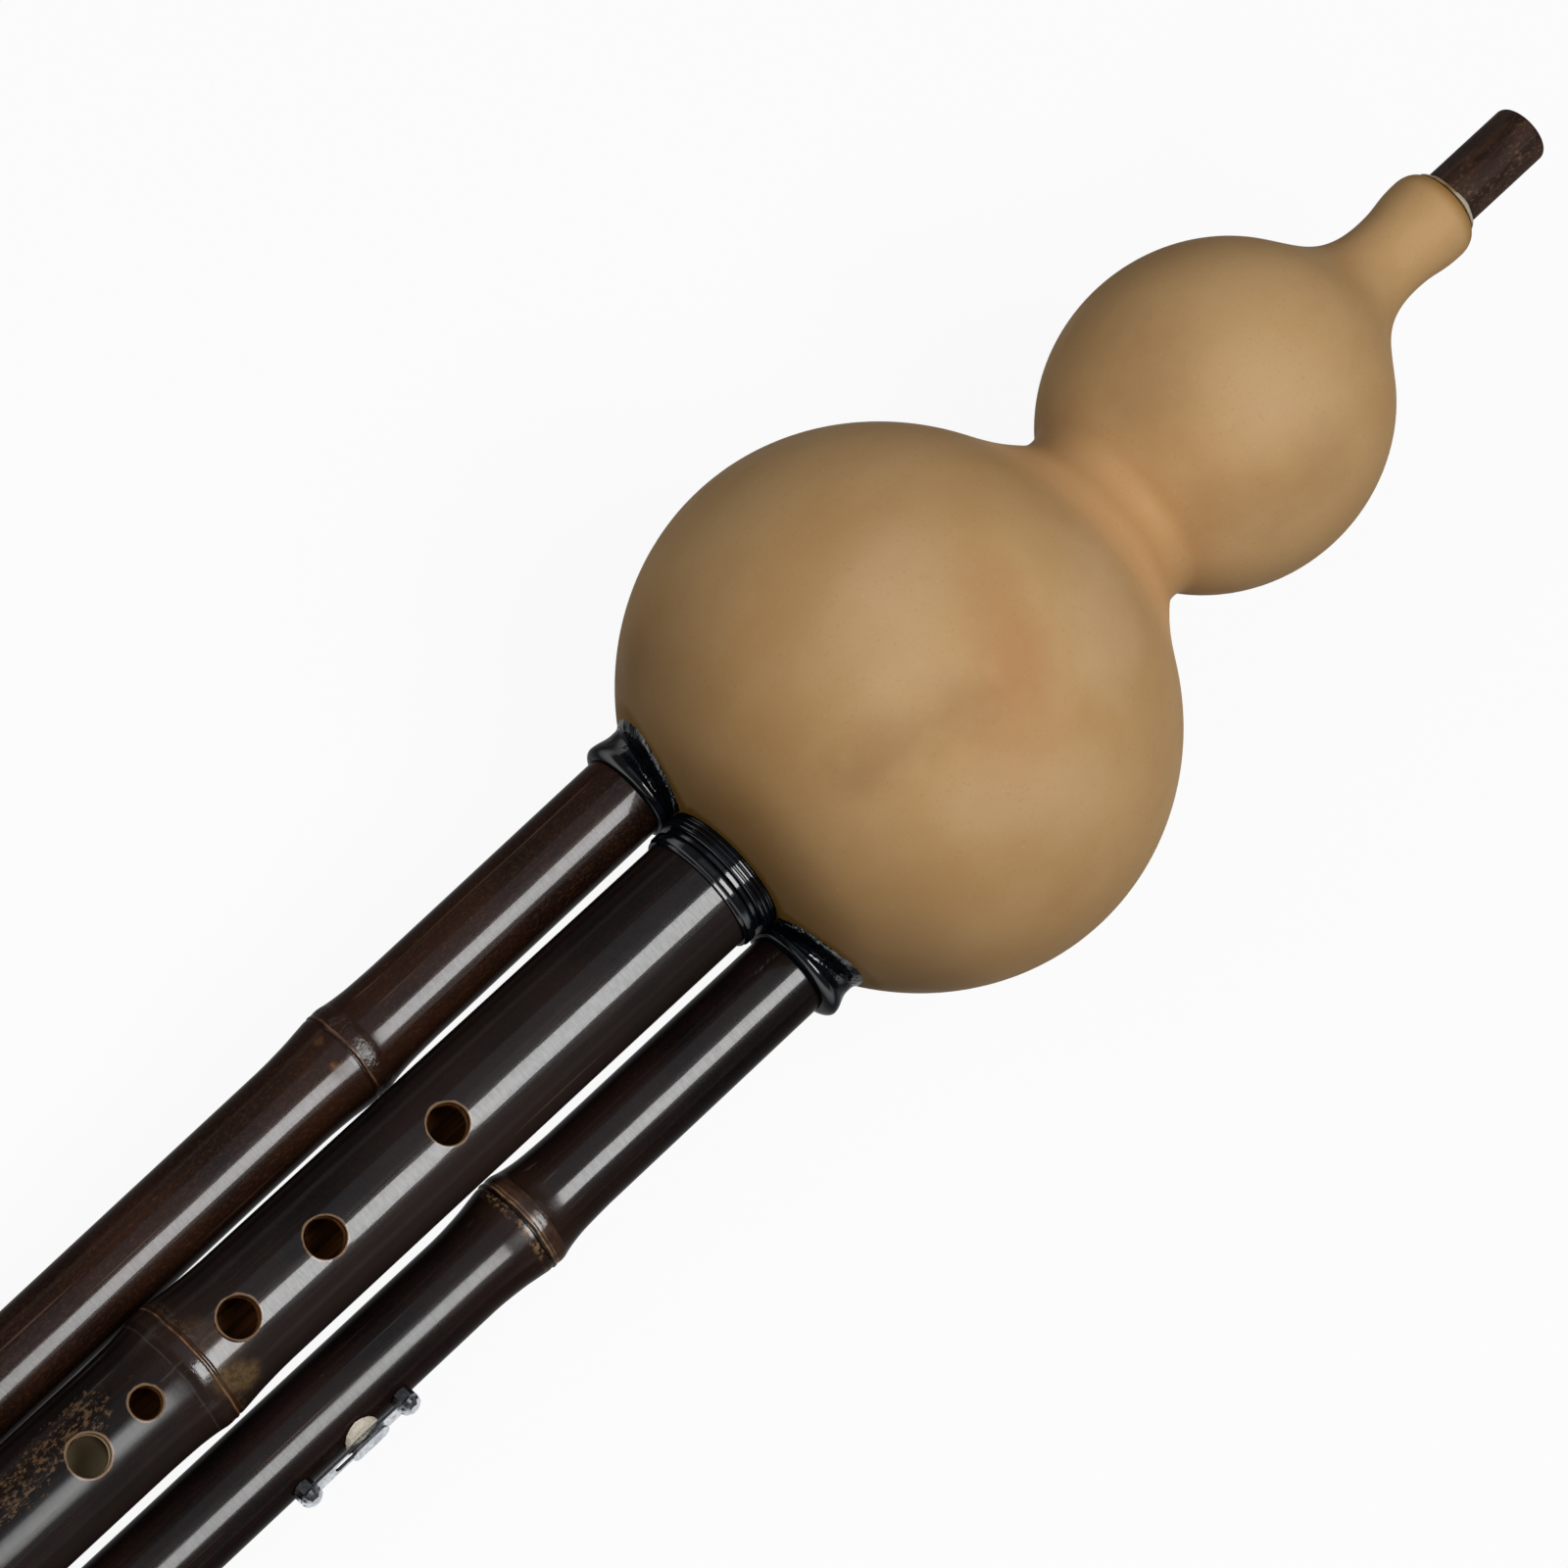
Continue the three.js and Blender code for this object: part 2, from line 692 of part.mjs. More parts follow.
// The soft pad that closes the sound hole, held on the slider's stem
function keyPad() {
  const pipe = rightDrone.radius;
  const disc = standingBar(soundHoleAt, 0, pipe + padTopLift, padRadius, holeFacets);
  const socket = standingBar(soundHoleAt, 0, pipe + railLift, keyStemRadius + clearance, smallFacets);
  return geometryOf(cutAll(disc, [pipeEnvelope(), socket]));
}

// Materials
function coat(color, roughness, metalness) {
  return { color, roughness, metalness };
}

const gourdSkin = coat(0xb08c5f, 0.62, 0);
const darkBamboo = coat(0x2c1a14, 0.28, 0);
const mouthpieceBamboo = coat(0x3b251b, 0.5, 0);
const blackResin = coat(0x101216, 0.22, 0);
const paleGlue = coat(0xc8b48f, 0.6, 0);
const cork = coat(0xb58a5a, 0.85, 0);
const reedBrass = coat(0xc79a4b, 0.3, 1);
const rubberPlug = coat(0x1c1a19, 0.7, 0);
const chrome = coat(0xc9ccd0, 0.12, 1);
const creamPad = coat(0xd8cfb8, 0.7, 0);

function part(name, geometry, finish) {
  const mesh = new THREE.Mesh(geometry, new THREE.MeshStandardMaterial(finish));
  mesh.name = name;
  return mesh;
}

function windChest() {
  const group = new THREE.Group();
  group.add(
    part("gourd_shell", gourdShell(), gourdSkin),
    part("mouthpiece_tube", mouthpieceTube(), mouthpieceBamboo),
    part("mouthpiece_seal", mouthpieceSeal(), paleGlue),
    part("socket_base", socketBase(), blackResin),
  );
  return group;
}

function melodyGroup() {
  const group = new THREE.Group();
  const plugBottom = tenonTop - topPlugLength;
  group.add(
    part("melody_pipe", melodyPipe(), darkBamboo),
    part("melody_ferrule", ferrule(), blackResin),
    part("melody_reed", reedPlate(melodyReed, tenonTop), reedBrass),
    part("melody_plug", plug(plugBottom, tenonTop, tenonBoreRadius), cork),
    part("tenon_seal_lower", tenonSeal(tenonSealPositions[0]), cork),
    part("tenon_seal_upper", tenonSeal(tenonSealPositions[1]), cork),
  );
  return group;
}

function droneGroup(name, drone, cutters) {
  const group = new THREE.Group();
  group.applyMatrix4(dronePlace(drone));
  const plugBottom = droneTop - topPlugLength;
  group.add(
    part(name + "_drone_pipe", dronePipe(drone, cutters), darkBamboo),
    part(name + "_collar", collar(drone), blackResin),
    part(name + "_reed", reedPlate(droneReed, droneTop), reedBrass),
    part(name + "_plug", plug(plugBottom, droneTop, droneBoreRadius), cork),
  );
  return group;
}

// The right drone carries the key and is closed at its foot
function rightDroneGroup() {
  const turn = THREE.MathUtils.degToRad(90 - keyFrontAngle);
  const cutters = keyCutters().map((cutter) => cutter.rotateX(turn));
  const group = droneGroup("right", rightDrone, cutters);
  const key = new THREE.Group();
  key.rotation.x = turn;
  key.add(
    part("key_rail", keyRail(), chrome),
    part("key_screw_upper", keyScrew(upperScrewAt), chrome),
    part("key_screw_lower", keyScrew(lowerScrewAt), chrome),
    part("key_slider", keySlider(), chrome),
    part("key_pad", keyPad(), creamPad),
  );
  const footPlug = plug(droneFoot, droneFoot + footPlugLength, droneBoreRadius);
  group.add(key, part("right_foot_plug", footPlug, rubberPlug));
  return group;
}

// The tilt at which the big bulb and the melody pipe's foot touch the same ground
function restTilt() {
  const bulbShare = Math.cos(Math.PI / gourdFacets);
  const footDepth = pipeRadius * Math.cos(Math.PI / pipeFacets);
  const foot = pipeFoot + pipeFootRound;
  const slopes = gourdOutline().map(([along, radius]) => (radius * bulbShare - footDepth) / (along - foot));
  return Math.atan(Math.max(...slopes));
}

const flute = new THREE.Group();
flute.name = "gourd_flute";
flute.add(windChest(), melodyGroup(), droneGroup("left", leftDrone, []), rightDroneGroup());
flute.rotation.y = -restTilt();

const root = new THREE.Group();
root.add(flute);
root.updateMatrixWorld(true);
const bounds = new THREE.Box3().setFromObject(root, true);
const centre = bounds.getCenter(new THREE.Vector3());
flute.position.set(-centre.x, -centre.y, -bounds.min.z);

export default root;
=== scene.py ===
"""A gourd flute lying on its back on a white floor, seen from above its finger holes."""

import json
from math import atan2, cos, exp, hypot, pi, radians, sin, sqrt

import bmesh
import bpy
from mathutils import Matrix, Vector, noise

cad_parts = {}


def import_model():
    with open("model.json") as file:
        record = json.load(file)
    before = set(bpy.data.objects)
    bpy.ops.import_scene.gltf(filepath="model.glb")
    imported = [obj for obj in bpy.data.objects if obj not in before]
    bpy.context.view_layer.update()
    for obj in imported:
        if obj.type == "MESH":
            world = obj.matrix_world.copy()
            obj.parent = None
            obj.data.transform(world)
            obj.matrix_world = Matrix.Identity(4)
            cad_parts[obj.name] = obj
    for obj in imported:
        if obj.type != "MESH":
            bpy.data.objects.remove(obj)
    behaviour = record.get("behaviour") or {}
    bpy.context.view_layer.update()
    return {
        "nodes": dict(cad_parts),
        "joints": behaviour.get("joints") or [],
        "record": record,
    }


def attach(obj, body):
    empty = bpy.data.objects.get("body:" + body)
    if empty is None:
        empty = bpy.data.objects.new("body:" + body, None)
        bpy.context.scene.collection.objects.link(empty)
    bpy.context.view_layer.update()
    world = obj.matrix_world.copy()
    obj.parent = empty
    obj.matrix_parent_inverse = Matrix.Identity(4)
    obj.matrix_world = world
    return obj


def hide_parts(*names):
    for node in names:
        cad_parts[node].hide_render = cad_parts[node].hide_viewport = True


MM = 0.001

scene = bpy.context.scene
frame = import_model()
record = frame["record"]

# The flute's own frame: X along its axis towards the mouthpiece, Z out of the finger holes.
# The record gives it in the row frame: the first joint slides against X, and one mount is a known point.
MOUTH_MOUNT = Vector((138, 0, 3.75)) * MM
axis_x = -Vector(frame["joints"][0]["axis"]).normalized()
axis_y = Vector((0, 1, 0))
mount_pos = Vector(next(m for m in record["mounts"] if m["name"] == "mouthpiece_end")["pos_m"])
FLUTE = Matrix((axis_x, axis_y, axis_x.cross(axis_y))).transposed().to_4x4()
FLUTE.translation = mount_pos - FLUTE.to_3x3() @ MOUTH_MOUNT

# Sizes in millimetres, as in the solids. A share keeps a smooth surface inside the solid's facets.
GOURD_SHARE = cos(pi / 36)
PIPE_SHARE = cos(pi / 32)
BULB_RADIUS, BULB_FOOT, BULB_TOP, BULB_FOOT_ANGLE, BULB_TOP_ANGLE = 43.6, 40, 40, 141.7, 38.4
FOOT_AT, FOOT_FLAT, FOOT_REACH = -36, 9, 6
SMALL_AT, SMALL_RADIUS, SMALL_LENGTH, SMALL_FOOT_ANGLE, SMALL_TOP_ANGLE = 68.4, 26.35, 28.4, 139.4, 40.4
WAIST_REACH, NECK_AT, NECK_RADIUS, NECK_REACH = 6.5, 107, 6.8, 8.5
LIP_AT, LIP_RADIUS, GOURD_TOP, GOURD_MOUTH_RADIUS, GOURD_WALL = 116.2, 7.6, 119.2, 5.9, 3.5
CLEARANCE, SEATS_FROM = 0.3, -45
TUBE_RADIUS, TUBE_BORE, TUBE_ROUND = 4.9, 3.5, 0.9
TUBE_BOTTOM, TUBE_TOP = 97, 138
SEAL_HEIGHT, SEAL_WIDTH = 1.1, 1
PIPE_RADIUS, PIPE_BORE, PIPE_FOOT, PIPE_SHOULDER, PIPE_ROUND = 9.5, 6.5, -273, -41, 0.6
TENON_RADIUS, TENON_BORE, TENON_TOP, TENON_GROOVE = 6.9, 5, 16, 0.7
TENON_SEALS, TENON_SEAL_HALF = (-34.5, -27.5), 1.8
PIPE_NODE_AT, PIPE_NODE_RADIUS = -142.8, 10.3
HOLE, SMALL_HOLE = 3, 2.3
FINGER = [(-93.6, HOLE), (-117.3, HOLE), (-133.7, HOLE), (-151.1, SMALL_HOLE), (-161.7, HOLE), (-184, HOLE)]
BACK = [(-80, HOLE), (-222, SMALL_HOLE)]
FERRULE_BOTTOM, FERRULE_TOP, FERRULE_RADIUS, FERRULE_FACE = -41.9, -39.8, 10.3, -40.7
SOCKET_BOTTOM, SOCKET_NECK, SOCKET_RADIUS = -39.5, 9.6, 10.7
RIDGES_FROM, RIDGE_PITCH, RIDGE_DEPTH = -38.6, 0.78, 0.4
SLEEVE_RADIUS, SLEEVE_BORE, SLEEVE_TOP, RING_TOP = 9, 7.6, -21, -30
SET_BACK, DRONE_BORE, DRONE_TOP, DRONE_FOOT = 6, 4.2, 10, -215
COLLAR_BOTTOM, COLLAR_LIP, COLLAR_WAIST_AT = -38.2, 1.2, -36.2
SKIRT_RADIUS, SKIRT_FORWARD, SKIRT_INWARD, SKIRT_THICK = 10.5, 3.5, 0.6, 0.7
# Where the real skirt ends inside the solid one: all round, at its outer side and next to the socket
SKIRT_DRAWN, SKIRT_TRIM, SKIRT_TUCK = 0.5, 1.2, 1.6
LEFT = dict(side=1, spacing=17.65, turn=0.65, lean=0.55, radius=6.92, node=-93.7, crest=7.75,
            lip=1.2, waist=0.6)
RIGHT = dict(side=-1, spacing=17.5, turn=0, lean=0, radius=6.75, node=-91.9, crest=7.95,
             lip=1.9, waist=0.85)
PLUG_LENGTH, REED_MARGIN = 4, 1.5
MELODY_REED = dict(flat=5.6, length=22, width=6.8, tongue=15, wide=1.6)
DRONE_REED = dict(flat=5, length=19, width=6, tongue=12.5, wide=1.4)
KEY_TURN, KEY_DRILL = radians(64), 9
KEY_HOLES = ((-130.2, 1.6), (-122.5, 0.9), (-141.4, 0.9))

# Height across a node: distance from its middle in mm (negative at the scar's side) and share of the crest
NODE_FORM = (
    (-12, 0), (-10, 0.06), (-8.7, 0.14), (-7.2, 0.25), (-5.8, 0.38), (-4.35, 0.57), (-2.9, 0.76),
    (-1.9, 0.86), (-1.6, 0.74), (-1.38, 0.78), (-1.2, 0.97), (-1, 1), (-0.8, 0.93), (-0.4, 0.93),
    (0.2, 0.98), (0.8, 0.93), (1.3, 0.82), (1.8, 0.70), (2.9, 0.50), (4.35, 0.31), (5.8, 0.18), (8.7, 0.06),
    (11, 0),
)
# The scar's slow waves round the pipe: times round, size in mm, phase
WAVES = ((2, 0.15, 0.4), (5, 0.07, 2.1), (11, 0.04, 4))

# A drilled hole's broken edge: height over the pipe's surface and how much wider than the hole, in mm
HOLE_EDGE, HOLE_TOOL_TOP = ((-0.5, 0), (-0.2, 0.08), (0, 0.33), (0.4, 0.85)), PIPE_RADIUS + 2

# Shallow creases of the big bulb: both ends, half width and depth in mm
DENTS = (
    ((9, 7, 42), (-2.5, -14, 41), 5, 0.38),
    ((-9, -5, 42), (-24.5, -2.6, 35), 4, 0.34),
)


def arc(centre, length, radius, start, end, steps, base=0):
    """Part of an ellipse about a point of the axis, or about one at a distance from it."""
    points = []
    for i in range(steps + 1):
        a = radians(start + (end - start) * i / steps)
        points.append((centre + length * cos(a), radius * sin(a) + base))
    return points


def ahead(centre, length, radius, angle, distance):
    """The point that lies ahead of an ellipse point along its tangent."""
    a = radians(angle)
    tx, ty = length * sin(a), -radius * cos(a)
    share = distance / hypot(tx, ty)
    return (centre + length * cos(a) + tx * share, radius * sin(a) + ty * share)


def cubic(p0, p1, p2, p3, steps):
    points = []
    for i in range(steps + 1):
        t = i / steps
        w = ((1 - t) ** 3, 3 * (1 - t) ** 2 * t, 3 * (1 - t) * t * t, t ** 3)
        pairs = zip(p0, p1, p2, p3)
        points.append(tuple(w[0] * a + w[1] * b + w[2] * c + w[3] * d for a, b, c, d in pairs))
    return points


def through(points, steps):
    """A smooth line through uneven points."""
    tangents = []
    for i in range(len(points)):
        before, after = points[max(i - 1, 0)], points[min(i + 1, len(points) - 1)]
        tangents.append((after[1] - before[1]) / (after[0] - before[0]))
    line = [points[0]]
    for (x0, y0), (x1, y1), m0, m1 in zip(points, points[1:], tangents, tangents[1:]):
        third = (x1 - x0) / 3
        handles = (x0 + third, y0 + m0 * third), (x1 - third, y1 - m1 * third)
        line += cubic((x0, y0), *handles, (x1, y1), steps)[1:]
    return line


def bulb_foot(fine):
    """The big bulb's lower half: a flat foot that runs into an ellipse."""
    bulb = (0, BULB_FOOT, BULB_RADIUS)
    belly = arc(*bulb, BULB_FOOT_ANGLE, 90, 7 * fine)
    flat, handle = (FOOT_AT, FOOT_FLAT), (FOOT_AT, FOOT_FLAT + FOOT_REACH)
    shoulder = cubic(flat, handle, ahead(*bulb, BULB_FOOT_ANGLE, -FOOT_REACH), belly[0], 4 * fine)
    return [(FOOT_AT, 0)] + shoulder + belly[1:]


def gourd_outline(fine=6):
    bulb, small = (0, BULB_TOP, BULB_RADIUS), (SMALL_AT, SMALL_LENGTH, SMALL_RADIUS)
    top = arc(*bulb, 90, BULB_TOP_ANGLE, 6 * fine)
    second = arc(*small, SMALL_FOOT_ANGLE, SMALL_TOP_ANGLE, 10 * fine)
    waist_start = ahead(*bulb, BULB_TOP_ANGLE, WAIST_REACH)
    waist_end = ahead(*small, SMALL_FOOT_ANGLE, -WAIST_REACH)
    waist = cubic(top[-1], waist_start, waist_end, second[0], 6 * fine)
    neck_start, neck_end = ahead(*small, SMALL_TOP_ANGLE, NECK_REACH), (NECK_AT, NECK_RADIUS)
    neck = cubic(second[-1], neck_start, (NECK_AT - NECK_REACH, NECK_RADIUS), neck_end, 5 * fine)
    mid = (NECK_AT + LIP_AT) / 2
    lip = cubic(neck_end, (mid, NECK_RADIUS), (mid, LIP_RADIUS), (LIP_AT, LIP_RADIUS), 3 * fine)
    rim, mouth = LIP_RADIUS - GOURD_MOUTH_RADIUS, GOURD_MOUTH_RADIUS
    end = arc(LIP_AT, GOURD_TOP - LIP_AT, rim, 90, 0, 3 * fine, mouth)
    outline = bulb_foot(fine)
    for part in (top, waist, second, neck, lip, end):
        outline += part[1:]
    return outline


def gourd_foot_at(radius):
    """Where the gourd's lower skin lies along the axis at a distance from it."""
    for (x0, r0), (x1, r1) in zip(GOURD_FOOT, GOURD_FOOT[1:]):
        if r0 <= radius <= r1:
            return x0 + (x1 - x0) * (radius - r0) / (r1 - r0)
    return 0


# The gourd's foot as it is built, drawn in by the gourd's share
GOURD_FOOT = [(x * GOURD_SHARE if i else x, r * GOURD_SHARE) for i, (x, r) in enumerate(bulb_foot(6))]


def offset(outline, distance):
    moved = []
    for i, (x, r) in enumerate(outline):
        before, after = outline[max(i - 1, 0)], outline[min(i + 1, len(outline) - 1)]
        nx, nr = before[1] - after[1], after[0] - before[0]
        size = hypot(nx, nr) or 1
        if r < 1e-9:
            nx, nr, size = -1, 0, 1
        moved.append((x + nx / size * distance, max(r + nr / size * distance, 0)))
    return moved


def smooth(low, high, value):
    t = max(0, min(1, (value - low) / (high - low)))
    return t * t * (3 - 2 * t)


def off_line(point, start, end):
    """Distance of a point from a line between two points."""
    a, reach = Vector(start), Vector(end) - Vector(start)
    share = max(0, min(1, (point - a).dot(reach) / reach.length_squared))
    return (point - a - reach * share).length


def drone_place(drone):
    """Where a drone lies: set at its collar, turned in towards the melody pipe and leaning back."""
    turn = Matrix.Rotation(radians(-drone["lean"]), 4, "Y")
    turn = turn @ Matrix.Rotation(drone["side"] * radians(drone["turn"]), 4, "Z")
    collar_point = Vector((COLLAR_BOTTOM, drone["side"] * drone["spacing"], -SET_BACK)) * MM
    return Matrix.Translation(collar_point) @ turn @ shift(-COLLAR_BOTTOM)


# Meshes
def new_object(name, bm, place=Matrix(), angle=35):
    """Makes an object from a bmesh in the flute's frame, or in a frame placed in it."""
    mesh = bpy.data.meshes.new(name)
    bmesh.ops.recalc_face_normals(bm, faces=bm.faces)
    bm.to_mesh(mesh)
    bm.free()
    obj = bpy.data.objects.new(name, mesh)
    scene.collection.objects.link(obj)
    mesh.transform(FLUTE @ place)
    shade(obj, angle)
    return obj


def shade(obj, angle):
    for face in obj.data.polygons:
        face.use_smooth = True
    obj.data.set_sharp_from_angle(angle=radians(angle))


def put_on(obj, material):
    obj.data.materials.clear()
    obj.data.materials.append(material)


def bridge(bm, a, b):
    """Faces between two rings of vertices, either of which may be a single vertex."""
    count = max(len(a), len(b))
    for k in range(count):
        n = (k + 1) % count
        if len(a) == 1:
            bm.faces.new((a[0], b[n], b[k]))
        elif len(b) == 1:
            bm.faces.new((a[k], a[n], b[0]))
        else:
            bm.faces.new((a[k], a[n], b[n], b[k]))


def lathe(outline, segments, change=None):
    """A bmesh turned about X from (position, radius) pairs in mm; a closed loop of pairs makes a ring."""
    bm = bmesh.new()
    closed = outline[0] == outline[-1]
    rows = outline[:-1] if closed else outline
    rings = []
    for x, r in rows:
        if r < 1e-9:
            rings.append([bm.verts.new((x * MM, 0, 0))])
            continue
        rings.append([])
        for k in range(segments):
            a = (k + 0.5) / segments * 2 * pi
            px, pr = (x, r) if change is None else change(x, r, a)
            rings[-1].append(bm.verts.new((px * MM, pr * sin(a) * MM, pr * cos(a) * MM)))
    pairs = list(zip(rings, rings[1:]))
    if closed:
        pairs.append((rings[-1], rings[0]))
    for a, b in pairs:
        bridge(bm, a, b)
    return bm


def bar(radius, start, end, segments):
    """A tool for booleans: a round bar along Z, in mm."""
    bm = bmesh.new()
    place = Matrix.Translation((0, 0, (start + end) / 2 * MM))
    bmesh.ops.create_cone(bm, cap_ends=True, segments=segments, radius1=radius * MM, radius2=radius * MM,
                          depth=(end - start) * MM, matrix=place)
    return bm


def block(low, high):
    bm = bmesh.new()
    bmesh.ops.create_cube(bm, size=1.0)
    size = [(h - l) * MM for l, h in zip(low, high)]
    middle = [(h + l) / 2 * MM for l, h in zip(low, high)]
    bmesh.ops.transform(bm, matrix=Matrix.Translation(middle) @ Matrix.Diagonal((*size, 1)), verts=bm.verts)
    return bm


def boolean(obj, tools, operation="DIFFERENCE"):
    """Cuts or joins tool objects one after another, then deletes them."""
    for tool in tools:
        modifier = obj.modifiers.new("cut", "BOOLEAN")
        modifier.operation = operation
        modifier.solver = "EXACT"
        modifier.object = tool
        bpy.context.view_layer.update()
        graph = bpy.context.evaluated_depsgraph_get()
        mesh = bpy.data.meshes.new_from_object(obj.evaluated_get(graph))
        obj.modifiers.clear()
        old = obj.data
        obj.data = mesh
        bpy.data.meshes.remove(old)
        bpy.data.objects.remove(tool)


def hole_tools(holes, turn=0):
    """A drilled hole with a broken edge that follows the pipe's surface, for each (position, radius)."""
    steps = 48
    turns = [k / steps * 2 * pi for k in range(steps)]
    tools = []
    for at, radius in holes:
        rows = [[(radius * cos(a), radius * sin(a), 0) for a in turns]]
        for height, wider in HOLE_EDGE:
            wide = radius + wider
            rows.append([(wide * cos(a), wide * sin(a),
                          sqrt(PIPE_RADIUS ** 2 - (wide * sin(a)) ** 2) + height) for a in turns])
        rows.append([(x, y, HOLE_TOOL_TOP) for x, y, _ in rows[-1]])
        bm = bmesh.new()
        rings = [[bm.verts.new([c * MM for c in point]) for point in row] for row in rows]
        for a, b in zip(rings, rings[1:]):
            bridge(bm, a, b)
        bm.faces.new(rings[0][::-1])
        bm.faces.new(rings[-1])
        tools.append(tool(bm, shift(at) @ Matrix.Rotation(turn, 4, "X")))
    return tools


def tool(bm, place=Matrix()):
    """An object that a boolean uses up."""
    return new_object("tool", bm, place)


def shift(along):
    return Matrix.Translation((along * MM, 0, 0))


def finish(obj, body, node, material):
    """Puts a piece in place of its solid."""
    put_on(obj, material)
    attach(obj, body)
    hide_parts(node)


# Materials
def srgb(r, g, b):
    def one(c):
        c /= 255
        return c / 12.92 if c <= 0.04045 else ((c + 0.055) / 1.055) ** 2.4
    return (one(r), one(g), one(b), 1)


class Tree:
    """A short way to write a node tree."""

    def __init__(self, tree, output):
        self.tree = tree
        tree.nodes.clear()
        self.out = self.new(output)

    def link(self, a, b):
        self.tree.links.new(a, b)

    def put(self, socket, value):
        if isinstance(value, bpy.types.NodeSocket):
            self.link(value, socket)
        else:
            socket.default_value = value

    def fill(self, node, inputs):
        for key, value in inputs.items():
            self.put(node.inputs[key.replace("_", " ")], value)
        return node

    def new(self, kind, **inputs):
        return self.fill(self.tree.nodes.new("ShaderNode" + kind), inputs)

    def math(self, operation, a, b=0, c=0):
        node = self.new("Math")
        node.operation = operation
        for socket, value in zip(node.inputs, (a, b, c)):
            self.put(socket, value)
        return node.outputs[0]

    def ramp(self, value, low, high, out_low=0, out_high=1, kind="SMOOTHSTEP"):
        node = self.new("MapRange", Value=value, From_Min=low, From_Max=high, To_Min=out_low, To_Max=out_high)
        node.interpolation_type = kind
        return node.outputs["Result"]

    def blend(self, factor, first, second):
        """Sends a mix of two shaders to the output."""
        node = self.new("MixShader")
        for socket, value in zip(node.inputs, (factor, first, second)):
            self.put(socket, value)
        self.link(node.outputs[0], self.out.inputs[0])


class Nodes(Tree):
    """A material's node tree in the flute's frame. Tones are sRGB triples and lie over one another."""

    def __init__(self, name, place=Matrix()):
        self.material = bpy.data.materials.new(name)
        self.material.use_nodes = True
        super().__init__(self.material.node_tree, "OutputMaterial")
        self.shader = self.new("BsdfPrincipled")
        self.link(self.shader.outputs[0], self.out.inputs[0])
        home = FLUTE @ place
        turned = self.new("Mapping", Vector=self.new("TexCoord").outputs["Object"])
        turned.vector_type = "TEXTURE"
        turned.inputs["Location"].default_value = home.translation
        turned.inputs["Rotation"].default_value = home.to_euler("XYZ")
        self.coords = turned.outputs[0]
        self.colour = None

    def scaled(self, scale):
        return self.new("Mapping", Vector=self.coords, Scale=scale).outputs[0]

    def noise(self, scale, detail=3, rough=0.6, along=1, across=1):
        coords = self.coords if along == across else self.scaled((along, across, across))
        return self.new("TexNoise", Vector=coords, Scale=scale, Detail=detail, Roughness=rough).outputs["Fac"]

    def vector(self, operation, a, b=(0, 0, 0), scale=1):
        node = self.new("VectorMath")
        node.operation = operation
        self.put(node.inputs[0], a)
        if operation == "SCALE":
            self.put(node.inputs["Scale"], scale)
        else:
            self.put(node.inputs[1], b)
        return node.outputs["Value" if operation in ("DOT_PRODUCT", "DISTANCE") else "Vector"]

    def band(self, value, centre, near, far, strength=1):
        """Full strength close to a centre, fading to none at the far distance from it."""
        distance = self.math("ABSOLUTE", self.math("SUBTRACT", value, centre))
        return self.ramp(distance, near, far, strength, 0)

    def wobble(self, value, size):
        """A noise value turned into an unevenness about zero."""
        return self.math("MULTIPLY", self.math("SUBTRACT", value, 0.5), size)

    def in_mm(self, value):
        return self.math("MULTIPLY", value, 1 / MM)

    def times(self, *factors):
        total = factors[0]
        for factor in factors[1:]:
            total = self.math("MULTIPLY", total, factor)
        return total

    def mix(self, factor, *tones):
        """Mixes two tones, each a triple or a colour socket."""
        node = self.new("Mix")
        node.data_type = "RGBA"
        self.put(node.inputs["Factor"], factor)
        colours = [socket for socket in node.inputs if socket.type == "RGBA"]
        for socket, tone in zip(colours, tones):
            self.put(socket, srgb(*tone) if isinstance(tone, tuple) else tone)
        return next(socket for socket in node.outputs if socket.type == "RGBA")

    def paint(self, tone, *factors):
        """Lays a tone over the colour so far, as strongly as the factors' product."""
        self.colour = self.mix(self.times(*factors), self.colour, tone)

    def split(self):
        return self.new("SeparateXYZ", Vector=self.coords).outputs

    def from_axis(self, y=0, z=0):
        """Distance of a surface point from a line along X, in mm."""
        return self.in_mm(self.vector("DISTANCE", self.scaled((0, 1, 1)), (0, y * MM, z * MM)))

    def off_line(self, start, end):
        """Distance of a surface point from a line between two points, in mm."""
        a, b = Vector(start) * MM, Vector(end) * MM
        reach = b - a
        away = self.vector("SUBTRACT", self.coords, tuple(a))
        share = self.vector("DOT_PRODUCT", away, tuple(reach / reach.length_squared))
        share = self.math("MINIMUM", self.math("MAXIMUM", share, 0), 1)
        foot = self.vector("SCALE", tuple(reach), scale=share)
        return self.in_mm(self.vector("DISTANCE", away, foot))

    def bump(self, *layers):
        """Each layer is (height socket, depth in mm)."""
        normal = None
        for height, depth in layers:
            node = self.new("Bump", Strength=1, Distance=depth * MM, Height=height)
            if normal is not None:
                self.link(normal, node.inputs["Normal"])
            normal = node.outputs[0]
        self.link(normal, self.shader.inputs["Normal"])
        self.link(normal, self.shader.inputs["Coat Normal"])

    def facing(self):
        """For gloss: zero where the surface faces the eye, one at its edge."""
        return self.new("LayerWeight", Blend=0.5).outputs["Facing"]

    def set(self, **values):
        if self.colour is not None:
            values["Base_Color"] = self.colour
        self.fill(self.shader, values)
        return self.material


STAIN, UMBER_SHADE, PALE, OCHRE = (168, 114, 66), (140, 100, 62), (204, 172, 134), (176, 136, 84)
